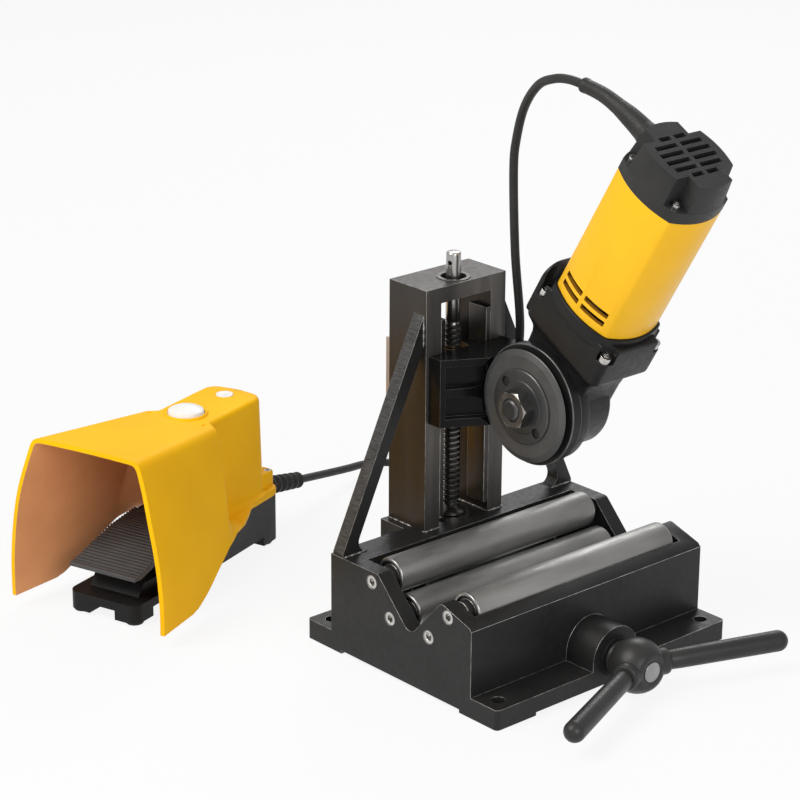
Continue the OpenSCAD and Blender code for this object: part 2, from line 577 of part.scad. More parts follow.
module foot_outline(a) polygon(concat(arc([8, 10 - a], 10, 180, 270, 6), [[116, -a], [130, 3 - a]],
  arc([227, 13 - a], 7, 270, 360, 5), arc([227, a - 13], 7, 0, 90, 5), [[130, a - 3], [116, a]],
  arc([8, a - 10], 10, 90, 180, 6)));
module feet() for (p = [[8, 29], [221, 23]], s = [-1, 1]) translate([p[0], s * p[1], 0]) children();
module switch_base() color([0.06, 0.06, 0.06]) foot() difference() {
  union() {
    translate([0, 0, 11.5]) linear_extrude(8.5) foot_outline(38);
    translate([0, 0, 2.6]) linear_extrude(10) intersection() {
      foot_outline(38);
      for (x = [-2, 208], y = [-38, 14]) translate([x, y]) square([26, 24]);
    }
    translate([0, 0, 11.5]) linear_extrude(37.5) intersection() { foot_outline(38); translate([118, -60])
      square([200, 120]); }
    for (s = [-1, 1]) translate([103, s * 33 - 3.5, 18]) cube([15.4, 7, 46]);
    xz_plate(-27, 27) polygon([[16, 19], [25, 31], [98, 31], [98, 19]]);
  }
  translate([70, 0, 17]) cylinder(d = 20, h = 30);
  translate([124, -27, 15]) cube([102, 54, 60]);
  translate([112, -50, 57]) rotate([-90, 0, 0]) cylinder(d = 6 + 2 * run, h = 100);
  translate([220, -10, 52.7]) rotate([0, 102.6, 0]) cylinder(d = 10.2, h = 40);
  feet() translate([0, 0, 2]) cylinder(d = 8 + 2 * run, h = 10);
  for (y = [-23, 23]) translate([229, y, 40]) cylinder(d = 4 + 2 * run, h = 20);
}
module switch_feet() color([0.04, 0.04, 0.04]) foot() feet() {
  cylinder(d1 = 15.5, d2 = 17, h = 2.6);
  cylinder(d = 8, h = 11.5);
}
function roof_h(u) = u < 118 ? hood_h - 0.1059 * (u + 18.4) : roof_z;
function roof_a(u) = hood_a - 0.11 * (u + 18.4);
function skirt_b(u) = hood_b - 0.118 * (u + 18.4);
function skirt_z(u) = min(56, 12 + max(0, u - 37) * 0.55);
function lean(u, z) = 4.6 * (1 - step01(-18.4, 70, u)) * (1 - step01(105, 168, z));
function side_v(u, z, o) = let (h = roof_h(u), a = roof_a(u), b = skirt_b(u), f = (h - z) / (h - 12))
  a + (b - a) * (f + 1.2 * (1 - 0.5 * step01(-18.4, 118, u)) * f * (1 - f)) - o;
function half_sect(u, o) = let (h = roof_h(u) - o, zb = skirt_z(u), r = 9 - o * 0.6,
  c = [roof_a(u) - o, h], s = [side_v(u, h - r, o), h - r],
  e = [c[0] - r, h]) concat([for (k = [0:4]) let (z = lerp(zb, h - r, k / 5)) [side_v(u, z, o), z]],
  [for (k = [0:4]) let (t = k / 4) (1 - t) * (1 - t) * s + 2 * t * (1 - t) * c + t * t * e],
    [[c[0] * 0.4, h]]);
function sect(u, o) = let (q = half_sect(u, o), n = len(q))
  concat([for (p = q) [u - lean(u, p[1]), p[0], p[1]]],
  [for (i = [n - 1:-1:0]) [u - lean(u, q[i][1]), -q[i][0], q[i][1]]]);
module hood_front() {
  us = [for (i = [0:8]) lerp(-18.4, 124, i / 8)];
  m = len(sect(0, 0));
  n = len(us);
  pts = concat([for (u = us) each sect(u, 0)], [for (u = us) each sect(u, hood_wall)]);
  o = n * m;
  polyhedron(pts, concat(
    [for (i = [0:n - 2], k = [0:m - 2]) [i * m + m + k, i * m + m + k + 1, i * m + k + 1, i * m + k]],
    [for (i = [0:n - 2], k = [0:m - 2]) [o + i * m + k, o + i * m + k + 1, o + i * m + m + k + 1,
      o + i * m + m + k]],
    [for (i = [0:n - 2]) [o + i * m, o + i * m + m, i * m + m, i * m]],
    [for (i = [0:n - 2]) [i * m + m + m - 1, o + i * m + m + m - 1, o + i * m + m - 1, i * m + m - 1]],
    [for (k = [0:m - 2]) [k + 1, o + k + 1, o + k, k]],
    [for (k = [0:m - 2]) [o + (n - 1) * m + k, o + (n - 1) * m + k + 1, (n - 1) * m + k + 1, (n - 1)
      * m + k]]), convexity = 10);
}
module tower_outline(a, e, o)
  polygon(concat([[119 + o, o - a]], arc([e - o - 15, 15 + o - a], 15, 270, 360, 5),
  arc([e - o - 15, a - o - 15], 15, 0, 90, 5), [[119 + o, a - o]]));
module tower(o, z0, z1) hull() {
  translate([0, 0, z0]) linear_extrude(4) tower_outline(33, 218, o);
  translate([0, 0, z1 - 7]) linear_extrude(1) tower_outline(30.8, 217, o);
  translate([0, 0, z1 - 1]) linear_extrude(1) tower_outline(27, 213, o);
}
module switch_hood() color([0.95, 0.68, 0.02]) foot() difference() {
  union() {
    difference() {
      union() {
        hood_front();
        tower(0, 56, roof_z);
        translate([0, 0, 49]) linear_extrude(8) intersection() { foot_outline(40); translate([119, -60])
          square([200, 120]); }
        translate([208, -28.5, 56]) cube([26, 57, 16]);
        translate([dome_u, 0, roof_z - 4]) cylinder(d = dome_d + 6, h = 6.4);
      }
      tower(hood_wall, 40, roof_z - hood_wall);
    }
    translate([119, -32, 70]) cube([hood_wall, 64, roof_z - 73]);
  }
  translate([dome_u, 0, 130]) cylinder(d = dome_d + 0.6, h = 40);
  translate([small_u, 0, 130]) cylinder(d = 17.1, h = 40);
  translate([220, -10, 52.7]) rotate([0, 102.6, 0]) cylinder(d = 10.2, h = 40);
  for (y = [-23, 23]) translate([229, y, 40]) cylinder(d = 4 + 2 * run, h = 40);
  for (y = [-23, 23]) translate([229, y, 68.5]) cylinder(d = 8, h = 20);
}
pedal_top = function (u) 44.5 + (u < 60 ? 0.27 * u : 16.2 + 0.12 * (u - 60));
module pedal() color([0.06, 0.06, 0.06]) foot() difference() {
  union() {
    xz_plate(-36, 36) polygon(concat([[0, 43.2], [0, 46.2], [0.8, 46.9], [2.6, 47.3], [3.4, 45.6]],
      [for (k = [1:26], j = [0:3]) let (u = 4 * k + [0, 0.8, 2.6, 3.4][j])
        [u, pedal_top(u) + (j == 1 || j == 2 ? 1.4 : 0)]],
      [[110, pedal_top(110) - 5], [60, pedal_top(60) - 5], [10, pedal_top(10) - 4.6]]));
    translate([112, -29, 57]) rotate([-90, 0, 0]) cylinder(d = 13, h = 58);
    translate([100, -29, 56]) cube([12, 58, 8]);
  }
  translate([112, -40, 57]) rotate([-90, 0, 0]) cylinder(d = 6 + 2 * run, h = 80);
  for (s = [-1, 1]) translate([97, s * 33.2 - 4.5, 30]) cube([40, 9, 60]);
}
module pedal_pin() color([0.7, 0.7, 0.7]) foot() translate([112, -36.4, 57]) rotate([-90, 0, 0])
  cylinder(d = 6, h = 72.8);
module pedal_spring() color([0.6, 0.6, 0.62]) foot()
  tube([for (i = [0:72]) let (a = i * 30) [70 + 6 * cos(a), 6 * sin(a), lerp(18, 54.4, i / 72)]], 0.9, 6);
module switch_block() color([0.12, 0.12, 0.13]) foot() {
  translate([134, -20, 15]) cube([66, 40, 67]);
}
module dome_button() color([0.92, 0.92, 0.90]) foot() translate([dome_u, 0, 0]) {
  zcyl(dome_d, roof_z - 9, roof_z + 3.2);
  translate([0, 0, roof_z + 3.2]) intersection() {
    translate([0, 0, -26]) sphere(r = 32, $fn = 64);
    cylinder(d = dome_d, h = 20);
  }
}
module small_button() color([0.9, 0.88, 0.86]) foot() translate([small_u, 0, 0])
  zcyl(16.5, roof_z - 7, roof_z + 1.6);
module cable_gland() color([0.05, 0.05, 0.05]) foot() translate([236, -10, 49.1]) rotate([0, 102.6, 0])
  difference() {
  union() {
    translate([0, 0, -14]) cylinder(d = 10, h = 20);
    cylinder(d = 18, h = 4);
    translate([0, 0, 3]) cylinder(d1 = 13, d2 = 11.5, h = 64);
    for (k = [0:5]) translate([0, 0, 8 + k * 9.9]) cylinder(d = 18.6 - k * 0.46, h = 5.4);
  }
  translate([0, 0, 49]) cylinder(d = cable_d + 0.8, h = 40);
}
module hood_screws() color([0.6, 0.6, 0.6]) foot() for (y = [-23, 23]) translate([229, y, 68.5])
  socket_screw(4, 7, 3, 27);

base_casting();
column();
guide_strips();
column_bolts();
left_brace();
right_brace();
roller_axles();
roller_bushes();
roller_upper_rear();
roller_lower_rear();
roller_lower_front();
roller_upper_front();
spindle_top_bush();
spindle_thrust_bush();
lead_screw();
spindle_gear();
feed_shaft();
feed_bushes();
feed_gear();
handle_hub();
handle_arm_left();
handle_arm_right();
carriage_casting();
spindle_nut();
rear_guide_plate();
guide_screws();
gear_housing();
gear_cover();
motor_housing();
motor_cap();
motor_screws();
cap_screws();
stator();
armature();
drive_bearings();
reduction_gear();
planet_carrier();
bevel_pinion();
bevel_wheel();
cutter_shaft();
cutting_wheel();
clamp_flange();
cutter_nut();
cord_guard();
connection_cable();
switch_base();
switch_hood();
switch_feet();
pedal();
pedal_pin();
pedal_spring();
switch_block();
dome_button();
small_button();
cable_gland();
hood_screws();
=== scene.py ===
import bmesh
import bpy
import json
import math
import numpy as np
from mathutils import Matrix

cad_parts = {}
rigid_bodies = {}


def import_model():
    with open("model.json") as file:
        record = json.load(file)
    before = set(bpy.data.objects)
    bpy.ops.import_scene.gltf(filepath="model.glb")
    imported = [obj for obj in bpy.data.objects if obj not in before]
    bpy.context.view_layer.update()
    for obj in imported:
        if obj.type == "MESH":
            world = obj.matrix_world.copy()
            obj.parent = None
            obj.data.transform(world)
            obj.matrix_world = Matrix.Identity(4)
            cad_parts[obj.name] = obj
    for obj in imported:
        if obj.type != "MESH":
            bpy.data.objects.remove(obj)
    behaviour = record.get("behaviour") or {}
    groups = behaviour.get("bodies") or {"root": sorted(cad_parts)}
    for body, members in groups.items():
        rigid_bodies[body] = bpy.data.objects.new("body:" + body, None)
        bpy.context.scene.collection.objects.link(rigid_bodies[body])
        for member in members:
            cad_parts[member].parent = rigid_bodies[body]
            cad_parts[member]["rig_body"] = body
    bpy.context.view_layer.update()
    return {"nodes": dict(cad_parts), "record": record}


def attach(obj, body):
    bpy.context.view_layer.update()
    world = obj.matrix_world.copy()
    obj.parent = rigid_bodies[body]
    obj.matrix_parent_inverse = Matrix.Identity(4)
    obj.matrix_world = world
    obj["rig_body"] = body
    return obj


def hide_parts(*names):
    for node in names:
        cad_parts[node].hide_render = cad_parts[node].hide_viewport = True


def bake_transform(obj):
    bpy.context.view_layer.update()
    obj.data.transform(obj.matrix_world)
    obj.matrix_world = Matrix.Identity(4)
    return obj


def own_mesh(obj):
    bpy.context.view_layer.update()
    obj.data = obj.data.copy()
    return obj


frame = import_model()
mm = 0.001
print("frame loaded:", len(frame["nodes"]), "nodes")


# camera, light and floor
stageSet = dict(
    camera=(-1.5156, -1.5522, 1.0086), azimuth=-41.584, elevation=19.934, roll=0.313,
    focalPixels=2695.7, framePixels=800,
    floorSize=14.0, floorColour=(0.70, 0.70, 0.70), floorGlow=0.88,
    worldColour=(0.92, 0.95, 1.0), worldLight=0.42, worldSeen=0.62,
    lamps=[  # name, place, aim, size, watts, colour
        ("keyLamp", (-1.9, 0.5, 2.3), (0.0, 0.0, 0.15), (1.5, 1.5), 62, (1.0, 0.985, 0.96)),
        ("frontLamp", (-0.9, -2.5, 1.3), (-0.1, 0.0, 0.15), (1.6, 1.2), 34, (1.0, 1.0, 1.0)),
        ("rearLamp", (1.9, 1.6, 2.0), (0.0, 0.0, 0.2), (1.2, 1.2), 26, (1.0, 1.0, 1.0)),
    ])


def turnTo(right, up, back, place):  # a matrix from three axes and a place
    m = Matrix.Identity(4)
    for i in range(3):
        m[i][0], m[i][1], m[i][2], m[i][3] = right[i], up[i], back[i], place[i]
    return m


def buildStage(s):
    az, el, ro = (math.radians(s[k]) for k in ("azimuth", "elevation", "roll"))
    right = np.array([math.cos(az), math.sin(az), 0])
    back = np.array([math.sin(az) * math.cos(el), -math.cos(az) * math.cos(el), math.sin(el)])
    up = np.cross(back, right)
    right, up = (math.cos(ro) * right + math.sin(ro) * up, -math.sin(ro) * right + math.cos(ro) * up)
    data = bpy.data.cameras.new("camera")
    data.sensor_width = 36
    data.lens = 36 * s["focalPixels"] / s["framePixels"]
    data.clip_start, data.clip_end = 0.05, 60
    cam = bpy.data.objects.new("camera", data)
    bpy.context.scene.collection.objects.link(cam)
    cam.matrix_world = turnTo(right, up, back, s["camera"])
    bpy.context.scene.camera = cam
    for name, place, aim, size, watts, colour in s["lamps"]:
        lamp = bpy.data.lights.new(name, "AREA")
        lamp.shape, lamp.size, lamp.size_y = "RECTANGLE", size[0], size[1]
        lamp.energy, lamp.color = watts, colour
        o = bpy.data.objects.new(name, lamp)
        bpy.context.scene.collection.objects.link(o)
        b = np.array(place) - np.array(aim)
        b = b / np.linalg.norm(b)
        r = np.cross([0, 0, 1], b)
        r = r / np.linalg.norm(r)
        o.matrix_world = turnTo(r, np.cross(b, r), b, place)
    world = bpy.data.worlds.new("studio")
    bpy.context.scene.world = world
    world.use_nodes = True
    t = world.node_tree
    t.nodes.clear()
    out = t.nodes.new("ShaderNodeOutputWorld")
    lit, seen = t.nodes.new("ShaderNodeBackground"), t.nodes.new("ShaderNodeBackground")
    lit.inputs[0].default_value, lit.inputs[1].default_value = (*s["worldColour"], 1), s["worldLight"]
    seen.inputs[0].default_value, seen.inputs[1].default_value = (1, 1, 1, 1), s["worldSeen"]
    t.links.new(pathMix(t, lit, seen).outputs[0], out.inputs[0])
    n = s["floorSize"]
    floor = bpy.data.meshes.new("floor")
    floor.from_pydata([(-n, -n, 0), (n, -n, 0), (n, n, 0), (-n, n, 0)], [], [(0, 1, 2, 3)])
    o = bpy.data.objects.new("floor", floor)
    bpy.context.scene.collection.objects.link(o)
    o.location.z = -0.0004
    mat = bpy.data.materials.new("paleFloor")
    mat.use_nodes = True
    t = mat.node_tree
    t.nodes.clear()
    out = t.nodes.new("ShaderNodeOutputMaterial")
    plain, glow = t.nodes.new("ShaderNodeBsdfDiffuse"), t.nodes.new("ShaderNodeEmission")
    plain.inputs[0].default_value = (*s["floorColour"], 1)
    glow.inputs[0].default_value, glow.inputs[1].default_value = (1, 1, 1, 1), 1.0
    half = t.nodes.new("ShaderNodeMixShader")
    half.inputs[0].default_value = s["floorGlow"]
    t.links.new(plain.outputs[0], half.inputs[1])
    t.links.new(glow.outputs[0], half.inputs[2])
    t.links.new(pathMix(t, plain, half).outputs[0], out.inputs[0])
    floor.materials.append(mat)
    bpy.context.scene.view_settings.view_transform = "Standard"


def pathMix(t, others, seen):  # what camera, glossy and transmission rays meet, against all other rays
    path = t.nodes.new("ShaderNodeLightPath")
    one, two = t.nodes.new("ShaderNodeMath"), t.nodes.new("ShaderNodeMath")
    one.operation = two.operation = "MAXIMUM"
    t.links.new(path.outputs["Is Camera Ray"], one.inputs[0])
    t.links.new(path.outputs["Is Glossy Ray"], one.inputs[1])
    t.links.new(one.outputs[0], two.inputs[0])
    t.links.new(path.outputs["Is Transmission Ray"], two.inputs[1])
    mix = t.nodes.new("ShaderNodeMixShader")
    t.links.new(two.outputs[0], mix.inputs[0])
    t.links.new(others.outputs[0], mix.inputs[1])
    t.links.new(seen.outputs[0], mix.inputs[2])
    return mix


buildStage(stageSet)
print("stage built")


# Each finish has a base colour and a second one that noise mixes in, a roughness range, the scales of its
# patches and its grain, and the strength and depth of the bump. Stretch draws the patches out to streaks.
finishes = dict(
    castPaint=dict(base=(0.017, 0.0163, 0.0158), second=(0.011, 0.0106, 0.0102), rough=(0.34, 0.50),
                   gloss=0.25, patch=14, grain=900, bump=0.10, bumpDepth=0.0004),
    gearPaint=dict(base=(0.015, 0.0144, 0.014), second=(0.0095, 0.0092, 0.009), rough=(0.30, 0.44),
                   gloss=0.18, patch=14, grain=900, bump=0.08, bumpDepth=0.0003),
    # castEdgeWearAndHighlight: bare metal on rounded edges, partly wear and partly a painted highlight
    castEdgeWearAndHighlight=dict(base=(0.50, 0.48, 0.46), second=(0.16, 0.155, 0.15), rough=(0.30, 0.45), metal=0.8,
                  patch=120, grain=900, bump=0.12, bumpDepth=0.0003),
    carriagePaint=dict(base=(0.004, 0.004, 0.004), second=(0.007, 0.0068, 0.0066), rough=(0.14, 0.24),
                       gloss=0.1, patch=22, grain=420, bump=0.06, bumpDepth=0.0003),
    columnSteel=dict(base=(0.075, 0.070, 0.066), second=(0.035, 0.030, 0.027), rough=(0.30, 0.44),
                     metal=0.75, patch=9, stretch=(1, 1, 0.12), grain=700, bump=0.08),
    columnFront=dict(base=(0.15, 0.140, 0.132), second=(0.075, 0.068, 0.063), rough=(0.34, 0.48),
                     metal=0.75, patch=30, stretch=(1, 1, 0.1), grain=700, bump=0.08),
    guideSteel=dict(base=(0.122, 0.113, 0.106), second=(0.056, 0.051, 0.048), rough=(0.28, 0.42),
                    metal=0.85, patch=20, stretch=(1, 1, 0.1), grain=600, bump=0.08),
    plateSteel=dict(base=(0.46, 0.40, 0.375), second=(0.33, 0.28, 0.26), rough=(0.38, 0.52), metal=0.6,
                    patch=30, stretch=(1, 1, 0.2), grain=800, bump=0.08),
    rollerSteel=dict(base=(0.34, 0.335, 0.325), second=(0.20, 0.197, 0.19), rough=(0.40, 0.56),
                     metal=0.85, patch=30, stretch=(0.25, 1, 1), grain=900, bump=0.12),
    rollerRim=dict(base=(0.34, 0.335, 0.325), second=(0.20, 0.197, 0.19), rough=(0.30, 0.42),
                   metal=0.95, patch=160, grain=900, bump=0.06),
    rodSteel=dict(base=(0.46, 0.45, 0.435), second=(0.30, 0.292, 0.28), rough=(0.22, 0.36), metal=1.0,
                  patch=60, stretch=(1, 1, 0.12), grain=900, bump=0.08),
    # innerDark: a near-black painted shade for hollows, bores, holes, thread roots and inner walls
    innerDark=dict(base=(0.018, 0.0175, 0.017), second=(0.030, 0.029, 0.028), rough=(0.40, 0.55),
                   metal=0.3, patch=80, grain=900, bump=0.08),
    nutSteel=dict(base=(0.070, 0.068, 0.066), second=(0.11, 0.107, 0.103), rough=(0.28, 0.42),
                  metal=0.8, patch=120, grain=1100, bump=0.08),
    brightEdge=dict(base=(0.46, 0.43, 0.40), second=(0.26, 0.24, 0.22), rough=(0.26, 0.40), metal=0.95,
                    patch=220, grain=1100, bump=0.08),
    brightSteel=dict(base=(0.62, 0.61, 0.59), second=(0.45, 0.44, 0.42), rough=(0.18, 0.32), metal=1.0,
                     patch=90, grain=1500, bump=0.06),
    threadSteel=dict(base=(0.20, 0.19, 0.18), second=(0.10, 0.095, 0.09), rough=(0.22, 0.36),
                     metal=0.95, patch=60, grain=900, bump=0.06),
    innerSteel=dict(base=(0.36, 0.36, 0.36), second=(0.26, 0.26, 0.26), rough=(0.28, 0.4), metal=1.0,
                    patch=60, grain=900, bump=0.06),
    bronze=dict(base=(0.55, 0.36, 0.13), second=(0.40, 0.25, 0.09), rough=(0.28, 0.42), metal=1.0,
                patch=60, grain=900, bump=0.06),
    handleBlack=dict(base=(0.020, 0.0195, 0.019), second=(0.028, 0.027, 0.026), rough=(0.34, 0.46),
                     patch=24, grain=1100, bump=0.10, bumpDepth=0.0003),
    motorYellow=dict(base=(0.90, 0.49, 0.012), second=(0.86, 0.46, 0.010), rough=(0.32, 0.42),
                     gloss=0.25, patch=18, grain=1400, bump=0.05),
    hoodYellow=dict(base=(0.94, 0.495, 0.004), second=(0.90, 0.46, 0.004), rough=(0.46, 0.58),
                    gloss=0.08, patch=16, grain=1200, bump=0.06),
    # slotPaintedShade: a dark orange painted shade on the walls of the motor's slots
    slotPaintedShade=dict(base=(0.30, 0.13, 0.010), second=(0.24, 0.10, 0.008), rough=(0.45, 0.58), patch=30,
                    grain=1200, bump=0.05),
    # glossEdgePaintedHighlight: a lighter grey on the rounded edges of glossy black pieces, a painted
    # highlight
    glossEdgePaintedHighlight=dict(base=(0.115, 0.113, 0.110), second=(0.060, 0.059, 0.058), rough=(0.18, 0.28),
                   gloss=0.7, patch=120, grain=900, bump=0.05),
    # hoodInsidePaintedShade: a darker brown-orange painted shade for the inside of the hood
    hoodInsidePaintedShade=dict(base=(0.78, 0.36, 0.15), second=(0.68, 0.30, 0.12), rough=(0.45, 0.58), patch=16,
                    grain=1200, bump=0.06),
    blackPlastic=dict(base=(0.022, 0.0215, 0.021), second=(0.030, 0.029, 0.028), rough=(0.38, 0.52),
                      gloss=0.22, patch=40, grain=1600, bump=0.22, bumpDepth=0.0003),
    basePlastic=dict(base=(0.009, 0.0088, 0.0086), second=(0.013, 0.0127, 0.0124), rough=(0.34, 0.46),
                     gloss=0.14, patch=40, grain=1600, bump=0.14, bumpDepth=0.0003),
    pedalPlastic=dict(base=(0.036, 0.035, 0.034), second=(0.048, 0.047, 0.046), rough=(0.36, 0.50),
                      gloss=0.5, patch=40, grain=1600, bump=0.18, bumpDepth=0.0003),
    blackRubber=dict(base=(0.017, 0.0165, 0.016), second=(0.024, 0.023, 0.022), rough=(0.46, 0.60),
                     patch=50, grain=1500, bump=0.12, bumpDepth=0.0003),
    whitePlastic=dict(base=(0.80, 0.79, 0.765), second=(0.74, 0.73, 0.70), rough=(0.30, 0.40), patch=60,
                      grain=1500, bump=0.05),
    cutterSteel=dict(base=(0.105, 0.104, 0.102), second=(0.075, 0.074, 0.073), rough=(0.40, 0.52),
                     metal=0.6, patch=30, grain=1000, bump=0.08),
    clampSteel=dict(base=(0.066, 0.065, 0.064), second=(0.048, 0.0475, 0.047), rough=(0.38, 0.50),
                    metal=0.6, patch=40, grain=1000, bump=0.08),
    motorCore=dict(base=(0.30, 0.17, 0.08), second=(0.16, 0.13, 0.11), rough=(0.35, 0.5), metal=0.8,
                   patch=90, grain=900, bump=0.15, bumpDepth=0.0004),
    weldBead=dict(base=(0.42, 0.41, 0.40), second=(0.10, 0.095, 0.09), rough=(0.26, 0.42), metal=0.9,
                  patch=260, grain=900, bump=0.25, bumpDepth=0.0004),
    sawnEdge=dict(base=(0.092, 0.090, 0.088), second=(0.036, 0.0355, 0.035), rough=(0.40, 0.54),
                  metal=0.5, patch=1100, stretch=(1, 0.10, 1), grain=1500, bump=0.30, bumpDepth=0.0003),
)


def buildFinish(name, s):
    mat = bpy.data.materials.new(name)
    mat.use_nodes = True
    t = mat.node_tree
    shader = t.nodes["Principled BSDF"]
    shader.inputs["Metallic"].default_value = s.get("metal", 0.0)
    shader.inputs["Specular IOR Level"].default_value = s.get("gloss", 0.3)
    place = t.nodes.new("ShaderNodeTexCoord")
    spread = t.nodes.new("ShaderNodeMapping")
    spread.inputs["Scale"].default_value = s.get("stretch", (1, 1, 1))
    t.links.new(place.outputs["Object"], spread.inputs["Vector"])

    def noise(scale, detail, source):
        n = t.nodes.new("ShaderNodeTexNoise")
        n.inputs["Scale"].default_value, n.inputs["Detail"].default_value = scale, detail
        t.links.new(source, n.inputs["Vector"])
        return n.outputs["Fac"]

    broad = noise(s["patch"], 5, spread.outputs["Vector"])
    level = t.nodes.new("ShaderNodeMapRange")
    level.inputs["From Min"].default_value, level.inputs["From Max"].default_value = 0.34, 0.66
    t.links.new(broad, level.inputs["Value"])
    mix = t.nodes.new("ShaderNodeMix")
    mix.data_type = "RGBA"
    mix.inputs[6].default_value, mix.inputs[7].default_value = (*s["base"], 1), (*s["second"], 1)
    t.links.new(level.outputs["Result"], mix.inputs[0])
    t.links.new(mix.outputs[2], shader.inputs["Base Color"])
    fine = noise(s["grain"] * 0.22, 3, spread.outputs["Vector"])
    rough = t.nodes.new("ShaderNodeMapRange")
    rough.inputs["From Min"].default_value, rough.inputs["From Max"].default_value = 0.3, 0.7
    rough.inputs["To Min"].default_value, rough.inputs["To Max"].default_value = s["rough"]
    t.links.new(fine, rough.inputs["Value"])
    t.links.new(rough.outputs["Result"], shader.inputs["Roughness"])
    grain = noise(s["grain"], 2, place.outputs["Object"])
    bump = t.nodes.new("ShaderNodeBump")
    bump.inputs["Strength"].default_value = s["bump"]
    bump.inputs["Distance"].default_value = s.get("bumpDepth", 0.0002)
    t.links.new(grain, bump.inputs["Height"])
    t.links.new(bump.outputs["Normal"], shader.inputs["Normal"])
    return mat


finish = {name: buildFinish(name, s) for name, s in finishes.items()}
print("finishes built:", len(finish))


def linkMesh(name, points, faces, mats):  # a smooth mesh object in metres, with its finishes
    mesh = bpy.data.meshes.new(name)
    mesh.from_pydata(np.asarray(points, float).reshape(-1, 3).tolist(), [], faces)
    mesh.polygons.foreach_set("use_smooth", [True] * len(mesh.polygons))
    for m in mats:
        mesh.materials.append(finish[m])
    o = bpy.data.objects.new(name, mesh)
    bpy.context.scene.collection.objects.link(o)
    return o


def tidyMesh(o, sharp=35.0, outward=True, merge=1e-6):
    # doubles are merged, faces turned outwards, and edges over an angle marked as sharp
    bm = bmesh.new()
    bm.from_mesh(o.data)
    bmesh.ops.remove_doubles(bm, verts=bm.verts, dist=merge)
    bmesh.ops.dissolve_degenerate(bm, edges=bm.edges, dist=merge)
    if outward:
        bmesh.ops.recalc_face_normals(bm, faces=bm.faces)
    bm.to_mesh(o.data)
    bm.free()
    o.data.set_sharp_from_angle(angle=math.radians(sharp))
    return o


def quads(n, m, closeU=False, closeV=False):  # faces of a grid of n by m points
    u, v = np.arange(n if closeU else n - 1), np.arange(m if closeV else m - 1)
    a, b = np.meshgrid(u, v, indexing="ij")
    c, d = (a + 1) % n, (b + 1) % m
    return np.stack([a * m + b, c * m + b, c * m + d, a * m + d], -1).reshape(-1, 4)


def tubeFaces(n, m):  # faces of n closed rings of m points, with one face over each end
    return quads(n, m, False, True).tolist() + [list(range(m)), list(range((n - 1) * m, n * m))]


def axes(direction):  # three unit axes at right angles, the last along the direction
    z = np.asarray(direction, float) / np.linalg.norm(direction)
    x = np.cross([0, 1, 0] if abs(z[1]) < 0.9 else [1, 0, 0], z)
    x = x / np.linalg.norm(x)
    return x, np.cross(z, x), z


def turned(name, profile, origin, direction, mats, segments=96, ring=False, sharp=35.0, bands=None):
    # a profile of (distance along the axis, radius) in mm is carried round the axis;
    # bands gives the finish of each step of the profile
    p = np.asarray(profile, float)
    x, y, z = axes(direction)
    a = np.linspace(0, 2 * np.pi, segments, endpoint=False)[:, None, None]
    spoke = np.cos(a) * x + np.sin(a) * y
    pts = (np.asarray(origin, float) + p[None, :, :1] * z + p[None, :, 1:2] * spoke) * mm
    o = linkMesh(name, pts, quads(segments, len(p), True, ring).tolist(), mats)
    if bands is not None:
        o.data.polygons.foreach_set("material_index", np.tile(np.asarray(bands, np.int32), segments))
    return tidyMesh(o, sharp)


def drill(start, end, radius, origin, direction, mat, segments=48):  # a round bar to cut out of a piece
    profile = [(start, 0), (start, radius), (end, radius), (end, 0)]
    return turned("tool", profile, origin, direction, [mat], segments)


def spline(points, steps):  # Catmull-Rom line through the points, as in part.scad
    p = np.asarray(points, float)
    q = np.vstack([p[:1], p, p[-1:]])
    u = (np.arange(steps) / steps)[None, :, None]
    a, b, c, d = (q[i:len(q) - 3 + i][:, None, :] for i in range(4))
    second, third = 2 * a - 5 * b + 4 * c - d, 3 * b - a - 3 * c + d
    line = 0.5 * (2 * b + (c - a) * u + second * u ** 2 + third * u ** 3)
    return np.vstack([line.reshape(-1, 3), p[-1:]])


def frames(line):  # tangents and a pair of normals that don't twist along a line
    t = np.gradient(line, axis=0)
    t /= np.linalg.norm(t, axis=1, keepdims=True)
    side = np.zeros_like(line)
    r = np.array([1.0, 0, 0]) if abs(t[0][2]) > 0.8 else np.array([0, 0, 1.0])
    for i in range(len(line)):
        r = r - t[i] * (r @ t[i])
        r = r / np.linalg.norm(r)
        side[i] = r
    return t, side, np.cross(t, side)


def swept(name, line, radii, mats, segments=24, sharp=40.0):
    # a round section carried along a line in mm, with a radius for each point
    line = np.asarray(line, float)
    t, n, b = frames(line)
    a = np.linspace(0, 2 * np.pi, segments, endpoint=False)[None, :, None]
    r = np.asarray(radii, float).reshape(-1, 1, 1)
    pts = (line[:, None, :] + r * (np.cos(a) * n[:, None, :] + np.sin(a) * b[:, None, :])) * mm
    return tidyMesh(linkMesh(name, pts, tubeFaces(len(line), segments), mats), sharp)


def layers(outline, inset, level):  # a closed outline, drawn in by each inset at each level
    q = np.asarray(outline, float)
    d = np.roll(q, -1, 0) - np.roll(q, 1, 0)
    inward = np.stack([-d[:, 1], d[:, 0]], 1) / np.linalg.norm(d, axis=1, keepdims=True)
    area = np.sum(q[:, 0] * np.roll(q[:, 1], -1) - np.roll(q[:, 0], -1) * q[:, 1])
    pts = q[None] + (inward if area > 0 else -inward)[None] * inset[:, None, None]
    height = np.broadcast_to(level[:, None, None], (len(inset), len(q), 1))
    return np.concatenate([pts, height], 2).reshape(-1, 3)


def roundEdge(edge, steps):  # insets and heights of a quarter circle
    a = np.linspace(0, np.pi / 2, steps + 1)
    return edge * (1 - np.sin(a)), edge * (1 - np.cos(a))


